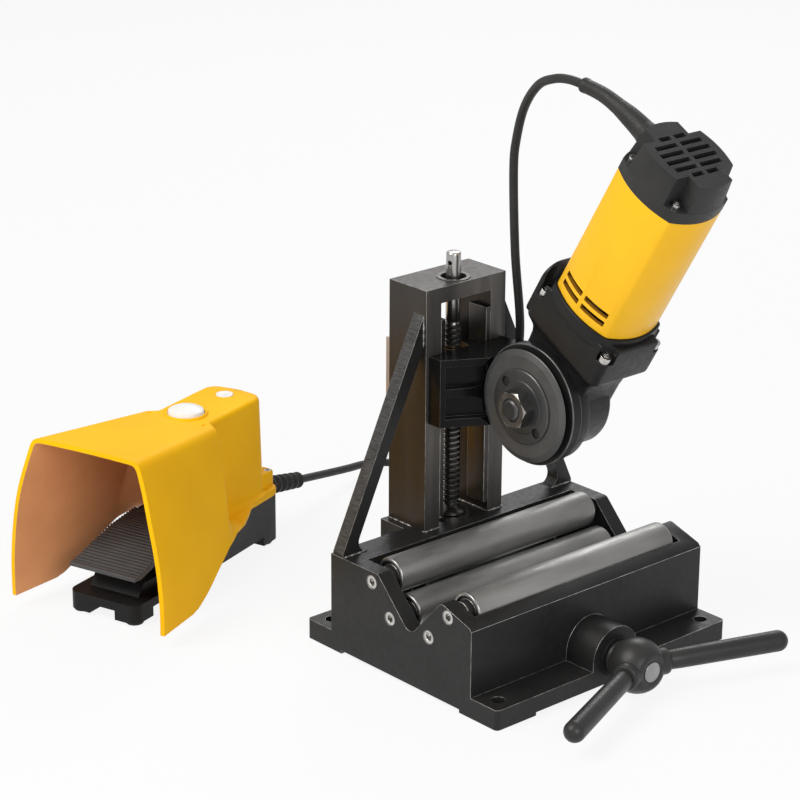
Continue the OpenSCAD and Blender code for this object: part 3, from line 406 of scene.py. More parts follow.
def plate(name, outline, z0, z1, edge, mats, place, steps=3, sharp=40.0):
    # a closed outline in mm carried from z0 to z1, with its edges rounded; place maps points to the frame
    rim, rise = roundEdge(edge, steps)
    pts = layers(outline, np.concatenate([rim, rise]), np.concatenate([z0 + rise, z1 - rim]))
    faces = tubeFaces(2 * steps + 2, len(outline))
    return tidyMesh(linkMesh(name, place(pts) * mm, faces, mats), sharp)


def sleeve(name, outline, wall, z0, z1, edge, mats, place, steps=3, sharp=40.0):
    # a closed outline carried from z0 to z1 outside and back inside, one wall apart, with rounded rims
    rim, rise = roundEdge(edge, steps)
    inset = np.concatenate([rim, rim[::-1], wall - rim, wall - rim[::-1]])
    level = np.concatenate([z0 + rise, z1 - rise[::-1], z1 - rise, z0 + rise[::-1]])
    n, m = len(inset), len(outline)
    o = linkMesh(name, place(layers(outline, inset, level)) * mm, quads(n, m, True, True).tolist(), mats)
    inner = np.repeat(np.arange(n) == 3 * steps + 2, m)
    o.data.polygons.foreach_set("material_index", inner.astype(np.int32))
    return tidyMesh(o, sharp)


def addBevel(o, width, segments=2, angle=32.0, edgeSlot=-1):
    # sharp edges become rounded ones, in a finish of their own where a slot is given
    b = o.modifiers.new("edges", "BEVEL")
    b.width, b.segments = width * mm, segments
    b.limit_method, b.angle_limit = "ANGLE", math.radians(angle)
    b.harden_normals, b.use_clamp_overlap, b.miter_outer = True, True, "MITER_ARC"
    b.material = edgeSlot
    return o


def bake(o):  # the object's modifiers become its mesh
    dg = bpy.context.evaluated_depsgraph_get()
    mesh = bpy.data.meshes.new_from_object(o.evaluated_get(dg))
    old = o.data
    o.modifiers.clear()
    o.data = mesh
    bpy.data.meshes.remove(old)
    return o


def cut(o, *tools):  # the tools' shapes are cut out of the object
    for tool in tools:
        c = o.modifiers.new("cut", "BOOLEAN")
        c.operation, c.solver, c.object, c.material_mode = "DIFFERENCE", "EXACT", tool, "TRANSFER"
    bake(o)
    for tool in tools:
        bpy.data.objects.remove(tool)
    return o


def settle(o, body, slot, *nodes):  # a piece's body and the nodes it stands for; the material slot is not used
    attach(o, body)
    if nodes:
        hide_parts(*nodes)
    return o


def cadCopy(name, node, mats, edge=0.0, segments=2, sharp=32.0, flat=0.6, merge=4e-6):
    # a merged copy of a CAD node, with its edges rounded, in the second finish where there is one
    source = frame["nodes"][node]
    n, k = len(source.data.vertices), len(source.data.polygons)
    co, idx = np.zeros(n * 3, np.float32), np.zeros(k * 3, np.int32)
    source.data.vertices.foreach_get("co", co)
    source.data.polygons.foreach_get("vertices", idx)
    o = linkMesh(name, co, idx.reshape(-1, 3).tolist(), mats)
    bm = bmesh.new()
    bm.from_mesh(o.data)
    bmesh.ops.remove_doubles(bm, verts=bm.verts, dist=merge)
    bmesh.ops.dissolve_limit(bm, angle_limit=math.radians(flat), verts=bm.verts, edges=bm.edges)
    bm.to_mesh(o.data)
    bm.free()
    o.data.set_sharp_from_angle(angle=math.radians(sharp))
    if edge:
        addBevel(o, edge, segments, sharp, 1 if len(mats) > 1 else -1)
    return o


slotOf = {s["node"]: s["material_slot"] for s in frame["record"]["subparts"]}
bodyOf = {n: o["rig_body"] for n, o in frame["nodes"].items()}
alongX, alongY, alongZ = (1, 0, 0), (0, 1, 0), (0, 0, 1)
footTurn, footPlace = math.radians(17.1), np.array([-251.2, 271.2, 0.0])
tilt, drivePlace = math.radians(30.1), np.array([30.7, -12.4, 223.1])


def toFoot(p):  # from the foot switch's own axes to the frame, in mm
    x, y, z = np.moveaxis(np.asarray(p, float), -1, 0)
    c, s = math.cos(footTurn), math.sin(footTurn)
    return np.stack([x * c - y * s, x * s + y * c, z], -1) + footPlace


def toDrive(p):  # from the tilted motor's own axes to the frame, in mm
    x, y, z = np.moveaxis(np.asarray(p, float), -1, 0)
    c, s = math.cos(tilt), math.sin(tilt)
    return np.stack([x, y * c - z * s, y * s + z * c], -1) + drivePlace


driveAxis = toDrive((0, 0, 1)) - toDrive((0, 0, 0))


def smooth(a, b, x):  # a soft step from 0 at a to 1 at b
    k = np.clip((x - a) / (b - a), 0, 1)
    return k * k * (3 - 2 * k)


def arcOf(centre, radius, start, end, steps):  # points of an arc in degrees
    a = np.radians(np.linspace(start, end, steps + 1))
    return np.stack([centre[0] + radius * np.cos(a), centre[1] + radius * np.sin(a)], 1)


def roundedBox(x0, x1, y0, y1, r, steps=4):  # outline of a rectangle with round corners
    corners = ((x1 - r, y0 + r, -90), (x1 - r, y1 - r, 0), (x0 + r, y1 - r, 90), (x0 + r, y0 + r, 180))
    return np.vstack([arcOf((x, y), r, turn, turn + 90, steps) for x, y, turn in corners])


# The cable is a round section carried along a smooth line through the same points as in part.scad.
cable = dict(
    diameter=7.8, steps=14,
    footEnd=[(285, -10, 38.2), (300.4, -10, 34.7), (356.2, -10, 23.4), (392, -10, 16.4), (418, -10, 11.8)],
    way=[(172, 386, 8.4), (191.5, 377.5, 5.6), (205.5, 360, 4.5), (211, 330, 4.3), (196.5, 299.5, 4.3),
         (147.5, 257.5, 4.3), (96, 219, 4.8), (73, 184, 13), (58, 160, 38), (51, 142, 80), (52, 121, 128),
         (56, 94, 172), (57.5, 72, 212), (56.5, 61, 258), (54, 66.7, 331), (54.5, 71, 402),
         (53.5, 67, 432), (48.8, 53, 463), (40.5, 28.5, 487), (34.8, 4, 497.5), (32.6, -15, 500.6),
         (31.5, -32.7, 499.7)])
cableLine = spline(np.vstack([toFoot(cable["footEnd"]), np.array(cable["way"])]), cable["steps"])
cableRadii = np.full(len(cableLine), cable["diameter"] / 2)
cord = swept("connectionCable", cableLine, cableRadii, ["blackRubber"], 20)
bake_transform(cord)
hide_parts("connection_cable")


# The hood's section runs from the roof's middle, over a round corner and down the wall to the edge. In
# front it flares out to the skirt. Behind, the wall stands steep and turns out onto a ledge. One form
# blends into the other. Breaks are where roof, corner, wall and fillet end along the section, and counts
# are their steps.
hood = dict(
    mouth=-18.4, roof=168.0, roofBack=153.6, roofSlope=0.1059, roofEnd=118.0,
    roofHalf=57.5, roofNarrow=0.110, crown=0.8, skirtHalf=84.5, skirtNarrow=0.118, skirtLow=12.0,
    corner=8.5, swell=1.2, swellFade=0.5, lean=4.6, leanU=70, leanZ=(168, 105),
    blend=(119, 130), spread=14.0, spreadZ=(150, 60), wall=4.2,
    edgeU=(-18.4, 30, 40, 55, 78, 104, 125, 145, 165, 184, 216),
    edgeZ=(12, 12, 14.0, 21.0, 34, 47.5, 53.5, 55.8, 56.6, 56.8, 56.8),
    ledgeU=(110, 145, 165, 184, 216), ledgeV=(61, 55, 46.5, 38, 36), ledgeZ=66.0, ledgeRise=0.7,
    towerTop=30.6, towerLean=0.024, towerCorner=6.0, fillet=7.0, filletRoom=0.6, filletLeast=1.0,
    rearU=202.0, rearRound=15.0, rearSteps=7, rearDip=0.16, rearDipZ=(110, 150),
    rearLean=1.0, rearLeanU=(140, 205), rearFoot=56, rearHeight=98,
    breaks=(0, 0.25, 0.4, 0.78, 0.9, 1), counts=(8, 9, 14, 7, 5),
    rows=((-18.4, 98, 44), (100, 150, 36), (153, 202, 16)), closing=(0.25, 0.5, 0.75, 1.0),
    domeU=132.0, domeHole=34.6, buttonU=193.5, buttonHole=17.1, holesFrom=130, top=175,
    slotU=(114, 120), slotV=(-31, 31), slotHalf=1.6, slotRound=1.5, slotZ=153.1)


def hoodPoints(s, u, t):  # half width and height at u along the hood and t from 0 to 1 down its section
    h = np.where(u < s["roofEnd"], s["roof"] - s["roofSlope"] * (u - s["mouth"]), s["roofBack"]) + 0 * t
    a = s["roofHalf"] - s["roofNarrow"] * (u - s["mouth"]) + 0 * t
    b = s["skirtHalf"] - s["skirtNarrow"] * (u - s["mouth"]) + 0 * t
    low = np.interp(u, s["edgeU"], s["edgeZ"]) + 0 * t
    out = np.interp(u, s["ledgeU"], s["ledgeV"]) + 0 * t
    roofT, cornerT, wallT, filletT = s["breaks"][1:5]

    def flare(z):  # a straight slope from roof to skirt, with a swell between its ends
        f = (h - z) / (h - s["skirtLow"])
        swell = s["swell"] * (1 - s["swellFade"] * smooth(s["mouth"], s["roofEnd"], u))
        return a + (b - a) * (f + swell * f * (1 - f))

    def steep(z):  # an almost upright wall
        return s["towerTop"] + s["towerLean"] * (s["roofBack"] - z)

    def section(side, r, wallEnd, endT):  # roof, corner and wall of one form
        k = np.clip(t / roofT, 0, 1)
        top = side(h)
        v, z = (top - r) * k, h + s["crown"] * (1 - k ** 2)
        q = np.clip((t - roofT) / (cornerT - roofT), 0, 1)
        bend = (1 - q) ** 2 * (top - r) + 2 * q * (1 - q) * top + q ** 2 * side(h - r)
        drop = (1 - q) ** 2 * h + 2 * q * (1 - q) * h + q ** 2 * (h - r)
        v, z = np.where(t > roofT, bend, v), np.where(t > roofT, drop, z)
        w = np.clip((t - cornerT) / (endT - cornerT), 0, 1)
        zw = (h - r) + (wallEnd - (h - r)) * w
        return np.where(t > cornerT, side(zw), v), np.where(t > cornerT, zw, z)

    v1, z1 = section(flare, s["corner"], low, 1.0)
    r = np.clip(out - steep(s["ledgeZ"]) - s["filletRoom"], s["filletLeast"], s["fillet"])
    ledge = low + s["ledgeRise"]
    v2, z2 = section(steep, s["towerCorner"], ledge + r, wallT)
    k = np.clip((t - wallT) / (filletT - wallT), 0, 1) * np.pi / 2
    v2 = np.where(t > wallT, steep(ledge + r) + r * (1 - np.cos(k)), v2)
    z2 = np.where(t > wallT, ledge + r * (1 - np.sin(k)), z2)
    k = np.clip((t - filletT) / (1 - filletT), 0, 1)
    v2 = np.where(t > filletT, v2 + (out - v2) * k, v2)
    z2 = np.where(t > filletT, z2 + (low - z2) * k, z2)
    wide = s["spread"] * smooth(*s["spreadZ"], z1)
    w = smooth(s["blend"][0] - wide, s["blend"][1] + wide, u)
    return v1 * (1 - w) + v2 * w, z1 * (1 - w) + z2 * w


def buildHood(s):
    # a grid over u and t, drawn in round the rear corner and closed behind, then a wall, holes and slots
    steps = zip(s["breaks"], s["breaks"][1:], s["counts"])
    half = np.concatenate([[0.0]] + [np.linspace(a, b, n + 1)[1:] for a, b, n in steps])
    t = np.concatenate([-half[:0:-1], half])[None, :]
    turn = np.linspace(0, np.pi / 2, s["rearSteps"] + 1)[1:]
    length = np.concatenate([np.linspace(*row) for row in s["rows"]])
    plain, rear = np.zeros(len(length)), np.full(len(s["closing"]), s["rearRound"])
    u = np.concatenate([length, s["rearU"] + s["rearRound"] * np.sin(turn), s["rearU"] + rear])[:, None]
    inset = np.concatenate([plain, s["rearRound"] * (1 - np.cos(turn)), rear])[:, None]
    close = np.concatenate([plain, 0 * turn, s["closing"]])[:, None]
    v, z = hoodPoints(s, u, np.abs(t))
    v = np.maximum(v - inset, 0) * (1 - close) * np.sign(t)
    z = z - s["rearDip"] * inset * smooth(*s["rearDipZ"], z)
    along = u - s["rearLean"] * smooth(*s["rearLeanU"], u) * (z - s["rearFoot"]) / s["rearHeight"]
    along = along - s["lean"] * smooth(s["leanU"], s["mouth"], u) * smooth(*s["leanZ"], z)
    pts = toFoot(np.stack([along, v, z], -1)) * mm
    o = linkMesh("switchHood", pts, quads(len(u), t.shape[1]).tolist(), ["hoodYellow", "hoodInsidePaintedShade"])
    tidyMesh(o, 60)
    up = max(o.data.polygons, key=lambda f: f.center.z)
    if up.normal.z < 0:
        o.data.flip_normals()
    # the inside of the hood's wall takes the brown-orange painted shade
    shell = o.modifiers.new("wall", "SOLIDIFY")
    shell.thickness, shell.offset, shell.use_even_offset = s["wall"] * mm, -1, True
    shell.material_offset, shell.material_offset_rim = 1, 0
    bake(o)
    holes = ((s["domeU"], s["domeHole"]), (s["buttonU"], s["buttonHole"]))
    tools = [drill(s["holesFrom"], s["top"], d / 2, toFoot((c, 0, 0)), alongZ, "hoodYellow", 64)
             for c, d in holes]
    for y in s["slotV"]:
        slot = roundedBox(*s["slotU"], y - s["slotHalf"], y + s["slotHalf"], s["slotRound"])
        tools.append(plate("tool", slot, s["slotZ"], s["top"], 0.1, ["hoodYellow"], toFoot, 1))
    cut(o, *tools)
    tidyMesh(o, 44, outward=False)
    addBevel(o, 0.9, 2, 70)
    return settle(o, "frame", "hood_yellow", "switch_hood")


buildHood(hood)

# The hood's flange and lug are rounded plates. The dome's collar and the two buttons are turned profiles.
hoodTrim = dict(
    flange=[(119, -39.5), (130, -37.2), (222, -34.3), (228.6, -33), (232.4, -29.6), (234, -24),
            (234, 24), (232.4, 29.6), (228.6, 33), (222, 34.3), (130, 37.2), (119, 39.5)],
    flangeZ=(49, 57), lug=roundedBox(208, 234.5, -28.5, 28.5, 6), lugZ=(54, 72),
    seatV=(-23, 23), seatU=229.0, seatZ=(68.4, 90), seatHalf=4.1,
    collar=[(151, 17.3), (155.2, 17.3), (156.0, 17.9), (156.0, 19.0), (155.5, 19.6),
            (154.4, 20.0), (151, 20.1)])
settle(plate("hoodFlange", hoodTrim["flange"], *hoodTrim["flangeZ"], 1.4, ["hoodYellow"], toFoot),
       "frame", "hood_yellow")
lug = plate("hoodLug", hoodTrim["lug"], *hoodTrim["lugZ"], 2.6, ["hoodYellow"], toFoot, 4)
cut(lug, *[drill(*hoodTrim["seatZ"], hoodTrim["seatHalf"], toFoot((hoodTrim["seatU"], y, 0)), alongZ,
                 "hoodYellow", 40) for y in hoodTrim["seatV"]])
settle(tidyMesh(lug, 40, outward=False), "frame", "hood_yellow")
domePlace, buttonPlace = toFoot((hood["domeU"], 0, 0)), toFoot((hood["buttonU"], 0, 0))
settle(turned("domeCollar", hoodTrim["collar"], domePlace, alongZ, ["hoodYellow"], 96, True),
       "frame", "hood_yellow")
buttons = dict(
    dome=np.vstack([[(144.6, 0), (144.6, 17), (155.4, 17), (156.4, 16.85), (157.2, 16.5)],
                    arcOf((130.8, 0), 32, math.degrees(0.525), 0, 13)]),
    small=[(146.6, 0), (146.6, 8.25), (154.4, 8.25), (155.0, 7.95), (155.2, 7.4), (155.2, 6.4),
           (154.8, 5.9), (154.5, 5.0), (154.45, 0)])
settle(turned("domeButton", buttons["dome"], domePlace, alongZ, ["whitePlastic"], 96),
       "dome", "white_plastic", "dome_button")
settle(turned("smallButton", buttons["small"], buttonPlace, alongZ, ["whitePlastic"], 64),
       "reset", "white_plastic", "small_button")
print("foot switch hood built")

# The cable boot is a turned profile whose radius swings in rounded ribs and narrows to the cable.
boot = dict(
    start=(236, -10, 49.1), lean=102.6, ribs=6, ribsFrom=4.2, length=65.0, outer=9.4, taper=1.4,
    depth=3.0, steps=18, foot=[(-6, 0), (-6, 5), (0, 5), (0, 8.6), (0.6, 9.2), (3.4, 9.2), (4.0, 8.8)],
    end=[(66.0, 7.0), (66.9, 6.2), (67.3, 5.2), (67.3, 0)])
along = np.linspace(boot["ribsFrom"], boot["length"], boot["ribs"] * boot["steps"] + 1)
share = (along - boot["ribsFrom"]) / (boot["length"] - boot["ribsFrom"])
wave = np.clip(np.cos(2 * np.pi * boot["ribs"] * share) * 1.3, -1, 1)
ribbed = boot["outer"] - boot["taper"] * along / boot["length"] - boot["depth"] * (0.5 - 0.5 * wave)
bootProfile = np.vstack([boot["foot"], np.stack([along, ribbed], 1), boot["end"]])
lean = math.radians(boot["lean"])
bootAxis = toFoot((math.sin(lean), 0, math.cos(lean))) - toFoot((0, 0, 0))
settle(turned("cableBoot", bootProfile, toFoot(boot["start"]), bootAxis, ["blackRubber"], 48),
       "frame", "black_rubber", "cable_gland")

# The guard at the motor follows the cable's end and narrows to a lip, with a short collar at the cap.
guard = dict(
    points=[toDrive((0, 40.4, 262.8)), toDrive((0, 59.4, 262.8)), (30.8, -75, 488.6),
            (31, -56, 495.6), (31.5, -33, 499.7)], steps=22,
    at=(0, 0.04, 0.12, 0.35, 0.5, 0.65, 0.8, 0.93, 0.945, 0.985, 1),
    radius=(11.4, 10.9, 9.6, 8.4, 7.1, 6.6, 6.3, 6.2, 6.6, 6.6, 6.0))
guardLine = spline(guard["points"], guard["steps"])
guardRadii = np.interp(np.linspace(0, 1, len(guardLine)), guard["at"], guard["radius"])
settle(swept("cordGuard", guardLine, guardRadii, ["blackRubber"], 36, 50),
       "carriage", "black_rubber", "cord_guard")
print("cable ends built")

# The motor's section is a square with bulged sides and softened corners, one wall thick, with slots in it.
# The slots' walls take a dark orange painted shade.
motor = dict(
    halfX=30.9, halfY=33.4, bulge=8.0, soften=1, low=112.8, high=242.8, wall=4.0, edge=0.8,
    slotY=(-14.5, 14.5), slotAt=(123.3, 132.3), slotLong=25.0, slotWide=5.2, slotRound=0.9, slotReach=60)


def bulgedOutline(s, n=40):  # each of four straight sides plus a parabola
    t = np.linspace(0, 1, n, endpoint=False)[:, None]
    c = np.array([(-1, -1), (1, -1), (1, 1), (-1, 1)]) * (s["halfX"], s["halfY"])
    d = np.roll(c, -1, 0) - c
    out = np.stack([d[:, 1], -d[:, 0]], 1) / np.linalg.norm(d, axis=1, keepdims=True)
    q = (c[:, None] + d[:, None] * t + out[:, None] * s["bulge"] * 4 * t * (1 - t)).reshape(-1, 2)
    for _ in range(s["soften"]):  # each point moves to the mean of itself and its neighbours
        q = (np.roll(q, 1, 0) + 2 * q + np.roll(q, -1, 0)) / 4
    return q


def motorSlot(s, y, z):  # a bar through the motor along x, to be cut out
    halfLong, halfWide = s["slotLong"] / 2, s["slotWide"] / 2
    slot = roundedBox(y - halfLong, y + halfLong, z - halfWide, z + halfWide, s["slotRound"], 3)
    return plate("tool", slot, -s["slotReach"], s["slotReach"], 0.1, ["slotPaintedShade"],
                 lambda p: toDrive(p[:, [2, 0, 1]]), 1)


# the inner side of the motor's wall takes the dark painted shade
housing = sleeve("motorHousing", bulgedOutline(motor), motor["wall"], motor["low"], motor["high"],
                 motor["edge"], ["motorYellow", "innerDark"], toDrive)
cut(housing, *[motorSlot(motor, y, z) for y in motor["slotY"] for z in motor["slotAt"]])
tidyMesh(housing, 40, outward=False)
settle(housing, "carriage", "motor_yellow", "motor_housing")
print("motor housing built")

# Rollers are turned tubes with a bright rounded rim at each end, and their bore is a dark painted shade.
roller = dict(
    half=117.0, rim=[(0, 13.06), (0, 14.6), (0.25, 15.1), (0.75, 15.6), (1.5, 15.9), (2.4, 16.0)],
    bands=[1] * 5 + [0] + [1] * 5 + [2],
    places=dict(upper_rear=(35.5, 81.4), lower_rear=(12.0, 55.3),
                lower_front=(-36.8, 55.3), upper_front=(-60.3, 81.4)))
rollerProfile = [(x - roller["half"], r) for x, r in roller["rim"]]
rollerProfile += [(-x, r) for x, r in rollerProfile[::-1]]
for name, (y, z) in roller["places"].items():
    words = name.split("_")
    piece = turned(words[0] + words[1].capitalize() + "Roller", rollerProfile, (0, y, z), alongX,
                   ["rollerSteel", "rollerRim", "innerDark"], 96, True, bands=roller["bands"])
    settle(piece, name + "_roller", "roller_steel", "roller_" + name)
print("rollers built")

# The thread: rings of one pitch wind up the spindle, and the radius follows a trapezoid with soft corners.
# Rows at the roots take a dark painted shade.
# The rod above it and the collar below it are turned profiles.
screw = dict(
    y=87.0, pitch=5.0, low=101.0, high=273.0, steps=64, runOut=4.0, root=6.0,
    at=(0, 0.13, 0.17, 0.31, 0.36, 0.64, 0.69, 0.83, 0.87),
    radius=(6, 6, 6.25, 7.7, 8, 8, 7.7, 6.25, 6), rootShadeRows=(0, 1, 7, 8),
    rod=[(272.5, 0), (272.5, 6.0), (273.6, 6.0), (274.4, 6.5), (334.2, 6.5), (335.2, 6.2),
         (335.8, 5.6), (336, 4.9), (336, 0)], holeZ=327, holeHalf=2, holeTurn=18,
    collar=[(31, 0), (31, 7), (93.8, 7), (93.8, 12.2), (94.6, 13), (96.6, 13), (98, 11.6),
            (99.2, 8.6), (101.5, 6.1), (101.5, 0)])
wraps = int(round((screw["high"] - screw["low"]) / screw["pitch"])) + 2
s = (np.arange(-1, wraps)[:, None] + np.array(screw["at"])[None, :]).reshape(-1, 1)
a = np.linspace(0, 1, screw["steps"] + 1)[None, :]
z = np.clip(screw["low"] + screw["pitch"] * (s + a), screw["low"], screw["high"])
fade = smooth(0, screw["runOut"], z - screw["low"]) * smooth(0, screw["runOut"], screw["high"] - z)
r = screw["root"] + (np.tile(screw["radius"], wraps + 1)[:, None] - screw["root"]) * fade
pts = np.stack([r * np.cos(2 * np.pi * a), screw["y"] + r * np.sin(2 * np.pi * a), z], -1)
thread = linkMesh("screwThread", pts * mm, quads(len(s), screw["steps"] + 1).tolist(),
                  ["threadSteel", "innerDark"])
row = np.tile(np.isin(np.arange(len(screw["at"])), screw["rootShadeRows"]), wraps + 1)[:len(s) - 1]
thread.data.polygons.foreach_set("material_index", np.repeat(row, screw["steps"]).astype(np.int32))
tidyMesh(thread, 40)
settle(thread, "spindle", "bright_steel", "lead_screw")
rod = turned("spindleRod", screw["rod"], (0, screw["y"], 0), alongZ, ["rodSteel", "innerDark"], 64)
holeTurn = math.radians(screw["holeTurn"])
# the cross hole's walls take the dark painted shade
cut(rod, drill(-20, 20, screw["holeHalf"], (0, screw["y"], screw["holeZ"]),
               (math.cos(holeTurn), math.sin(holeTurn), 0), "innerDark", 32))
tidyMesh(rod, 40, outward=False)
addBevel(rod, 0.35, 2, 50)
settle(rod, "spindle", "bright_steel")
settle(turned("spindleCollar", screw["collar"], (0, screw["y"], 0), alongZ, ["threadSteel"], 64),
       "spindle", "bright_steel")
print("feed spindle built")

# The cross handle: a ball with a flat front, a collar for each arm, and tapered arms with round ends.
handle = dict(
    centre=(0, -146.4, 26.0), rake=21.7, roll=1.2, armEnd=141.0, armHalf=9.3,
    ball=24.0, flat=-18.0, ballFrom=4, ballTo=50, ballSteps=22,
    ballFront=[(-17.4, 9.05), (-18.0, 9.9), (-18.0, 14.6), (-17.6, 15.6)],
    ballBack=[(19.2, 14.6), (20.2, 14.7), (21.3, 15.2), (22.0, 15.0), (22.1, 14.4), (22.1, 9.05)],
    collar=[(15.5, 0), (15.5, 12.9), (17.6, 12.7), (19.4, 12.2), (21.5, 11.9), (25.2, 11.7),
            (26.8, 11.4), (27.8, 10.7), (28.1, 9.8), (28.1, 0)],
    arm=[(17.2, 0), (17.2, 6), (28.2, 6), (28.3, 7.5), (28.9, 8.1), (30, 8.35), (40, 8.7)])
front = math.degrees(math.asin(handle["flat"] / handle["ball"]))
ballArc = arcOf((0, 0), handle["ball"], front + handle["ballFrom"], handle["ballTo"], handle["ballSteps"])
ballProfile = np.vstack([handle["ballFront"], ballArc[:, ::-1], handle["ballBack"]])
settle(turned("handleBall", ballProfile, handle["centre"], alongY, ["handleBlack"], 112, True, 46),
       "feed", "handle_black", "handle_hub")
armTip = arcOf((0, 0), handle["armHalf"], 90, 0, 14) + (handle["armEnd"] - handle["armHalf"], 0)
armProfile = np.vstack([handle["arm"], armTip])
rake, rollBy = math.radians(handle["rake"]), math.radians(handle["roll"])
for side, word in ((-1, "Left"), (1, "Right")):
    x = side * math.cos(rake)
    way = (x * math.cos(rollBy), -math.sin(rake), x * math.sin(rollBy))
    place = (handle["centre"], way, ["handleBlack"], 72, False, 46)
    settle(turned("armCollar" + word, handle["collar"], *place), "feed", "handle_black")
    arm = turned("handleArm" + word, armProfile, *place)
    settle(arm, "feed", "handle_black", "handle_arm_" + word.lower())
print("cross handle built")

# The cutting wheel, its flange and its shaft are turned profiles. The nut's radius is the smaller of a
# hexagon and a cone, and it is worn bright where the cone is the smaller.
cutter = dict(
    centre=(0, -12.4, 223.1), pinCircle=26.5, pinHalf=4.5, pinX=(-20, -10.6), pinTurns=(45, 225),
    wheel=[(-5, 12.55), (-5, 43.4), (-5.3, 44.2), (-7.4, 48.9), (-8.0, 49.8), (-8.6, 49.0),
           (-10.0, 45.6), (-10.4, 44.6), (-10.4, 12.55)], wheelBands=[0, 0, 0, 1, 0, 0, 0, 0, 0],
    flange=[(-10.4, 12.55), (-10.4, 33), (-11.7, 33), (-12.3, 32.5), (-12.5, 31.8), (-12.4, 23.6),
            (-12.7, 23.2), (-13, 22.8), (-13, 12.55)], flangeBands=[0, 0, 1, 1, 0, 0, 0, 0, 0],
    shaft=[(-26.5, 0), (-26.5, 6.6), (-26.3, 7.6), (-25.7, 8.6), (-24.7, 9.6), (-23.4, 10), (-10, 10),
           (-10, 12.5), (-5, 12.5), (-5, 20), (-3, 20), (-3, 12.5), (45, 12.5), (45, 10), (54, 10),
           (54, 0)], shaftBands=[0, 0, 1, 1] + [0] * 11,
    nutAcross=30.0, nutFront=-24.0, nutTurn=8.0, nutSteps=180, wornRows=slice(1, 8), wornBy=0.02,
    nutAt=(0, 0, 0.3, 0.6, 0.9, 1.2, 1.5, 1.9, 11.0, 11.0),
    nutCone=(10.3, 15.0, 15.5, 16.0, 16.45, 16.9, 17.3, 17.7, 18.0, 10.3))
cutX, cutY, cutZ = cutter["centre"]
settle(turned("cuttingWheel", cutter["wheel"], cutter["centre"], alongX, ["cutterSteel", "nutSteel"], 160,
              True, 14, bands=cutter["wheelBands"]), "cutter", "cutter_steel", "cutting_wheel")
clamp = turned("clampFlange", cutter["flange"], cutter["centre"], alongX, ["clampSteel", "nutSteel"], 128,
               True, 30, bands=cutter["flangeBands"])
pinHoles = []
# the pin holes' walls take the dark painted shade
for q in np.radians(cutter["pinTurns"]):
    pinPlace = (cutX, cutY + cutter["pinCircle"] * math.cos(q), cutZ + cutter["pinCircle"] * math.sin(q))
    pinHoles.append(drill(*cutter["pinX"], cutter["pinHalf"], pinPlace, alongX, "innerDark", 32))
cut(clamp, *pinHoles)
tidyMesh(clamp, 35, outward=False)
addBevel(clamp, 0.4, 2, 50)
settle(clamp, "cutter", "cutter_steel", "clamp_flange")
x, cone = np.array(cutter["nutAt"])[:, None], np.array(cutter["nutCone"])[:, None]
q = np.linspace(0, 2 * np.pi, cutter["nutSteps"], endpoint=False)[None, :]
corner = (q + math.radians(cutter["nutTurn"])) % (np.pi / 3) - np.pi / 6
hexagon = cutter["nutAcross"] / 2 / np.cos(corner)
r = np.minimum(hexagon, cone)
pts = np.stack([cutter["nutFront"] + x + 0 * q, cutY + r * np.cos(q), cutZ + r * np.sin(q)], -1)
nut = linkMesh("cutterNut", pts * mm, quads(*r.shape, True, True).tolist(), ["nutSteel", "brightEdge"])
worn = np.zeros(r.shape, np.int32)
worn[cutter["wornRows"]] = cone[cutter["wornRows"]] < hexagon - cutter["wornBy"]
nut.data.polygons.foreach_set("material_index", worn.reshape(-1))
settle(tidyMesh(nut, 24), "cutter", "cutter_steel", "cutter_nut")
# the shaft is in the dark painted shade, its end face included, except two steps of the end's rounding in
# nut steel
settle(turned("cutterShaft", cutter["shaft"], cutter["centre"], alongX, ["innerDark", "nutSteel"], 72,
              False, 40, bands=cutter["shaftBands"]), "cutter", "inner_steel", "cutter_shaft")
print("cutting wheel built")

# The gear housing: a turned barrel, and a neck whose rounded box section swells along the drive's axis
# into a collar with open corners for the screws. A rim holds the motor, a round-topped plate stands
# behind, and a pad leads to the carriage.
gear = dict(
    at=(16, 40, 50, 56, 60, 63, 65.5, 67.5, 69, 71, 104.6, 105.9, 106.7, 107),
    left=(-25, -25, -25.6, -27, -28.8, -30.8, -32.6, -34, -34.7, -35, -35, -34.7, -34, -33.2),
    right=(30, 30, 30.4, 31.2, 32.2, 33.3, 34.2, 34.8, 35, 35, 35, 34.7, 34, 33.2),
    front=(-34, -34, -35, -37, -39.6, -42.4, -44.8, -46.6, -47.3, -47.5, -47.5, -47.2, -46.5, -45.7),
    behind=(40, 40, 40.5, 41.5, 43, 44.5, 46, 47, 47.4, 47.5, 47.5, 47.2, 46.5, 45.7), corner=8.0,
    chamber=[(-9, 0), (-9, 53.6), (8, 53.6), (8, 40.1), (46.2, 40.1), (46.2, 0)],
    bore=[(-10, 0), (-10, 27), (104.5, 27), (104.5, 12.1), (140, 12.1), (140, 0)],
    screws=((-29, -41), (-29, 41), (29, -41), (29, 41)),
    pocket=8.6, pocketOut=1.08, pocketAt=93.0, seat=5.7, top=140, edge=0.7, rimEdge=1.0, plateEdge=1.6,
    barrel=[(54.2, 0), (54.2, 21.1), (46.2, 21.1), (46.2, 40), (8, 40), (8, 51.2), (8.8, 52), (18, 52),
            (19.4, 51.2), (20.2, 49.5), (20.6, 47.2), (21.8, 45.3), (24, 44.5), (49, 44.5), (51.5, 43.6),
            (55.5, 39.8), (56.6, 38.6), (57, 37.2), (57, 0)],
    rimOut=2, rimZ=(100, 112.7), plateY=(38, 49), pad=(0.5, 56, 194, 252, 4), padY=(-2.4, 30), padEdge=0.6,
    plateArcs=(((28, 74), 6, -90, 0, 6), ((17, 106), 17, 0, 90, 14),
               ((-17, 106), 17, 90, 180, 14), ((-28, 74), 6, 180, 270, 6)))


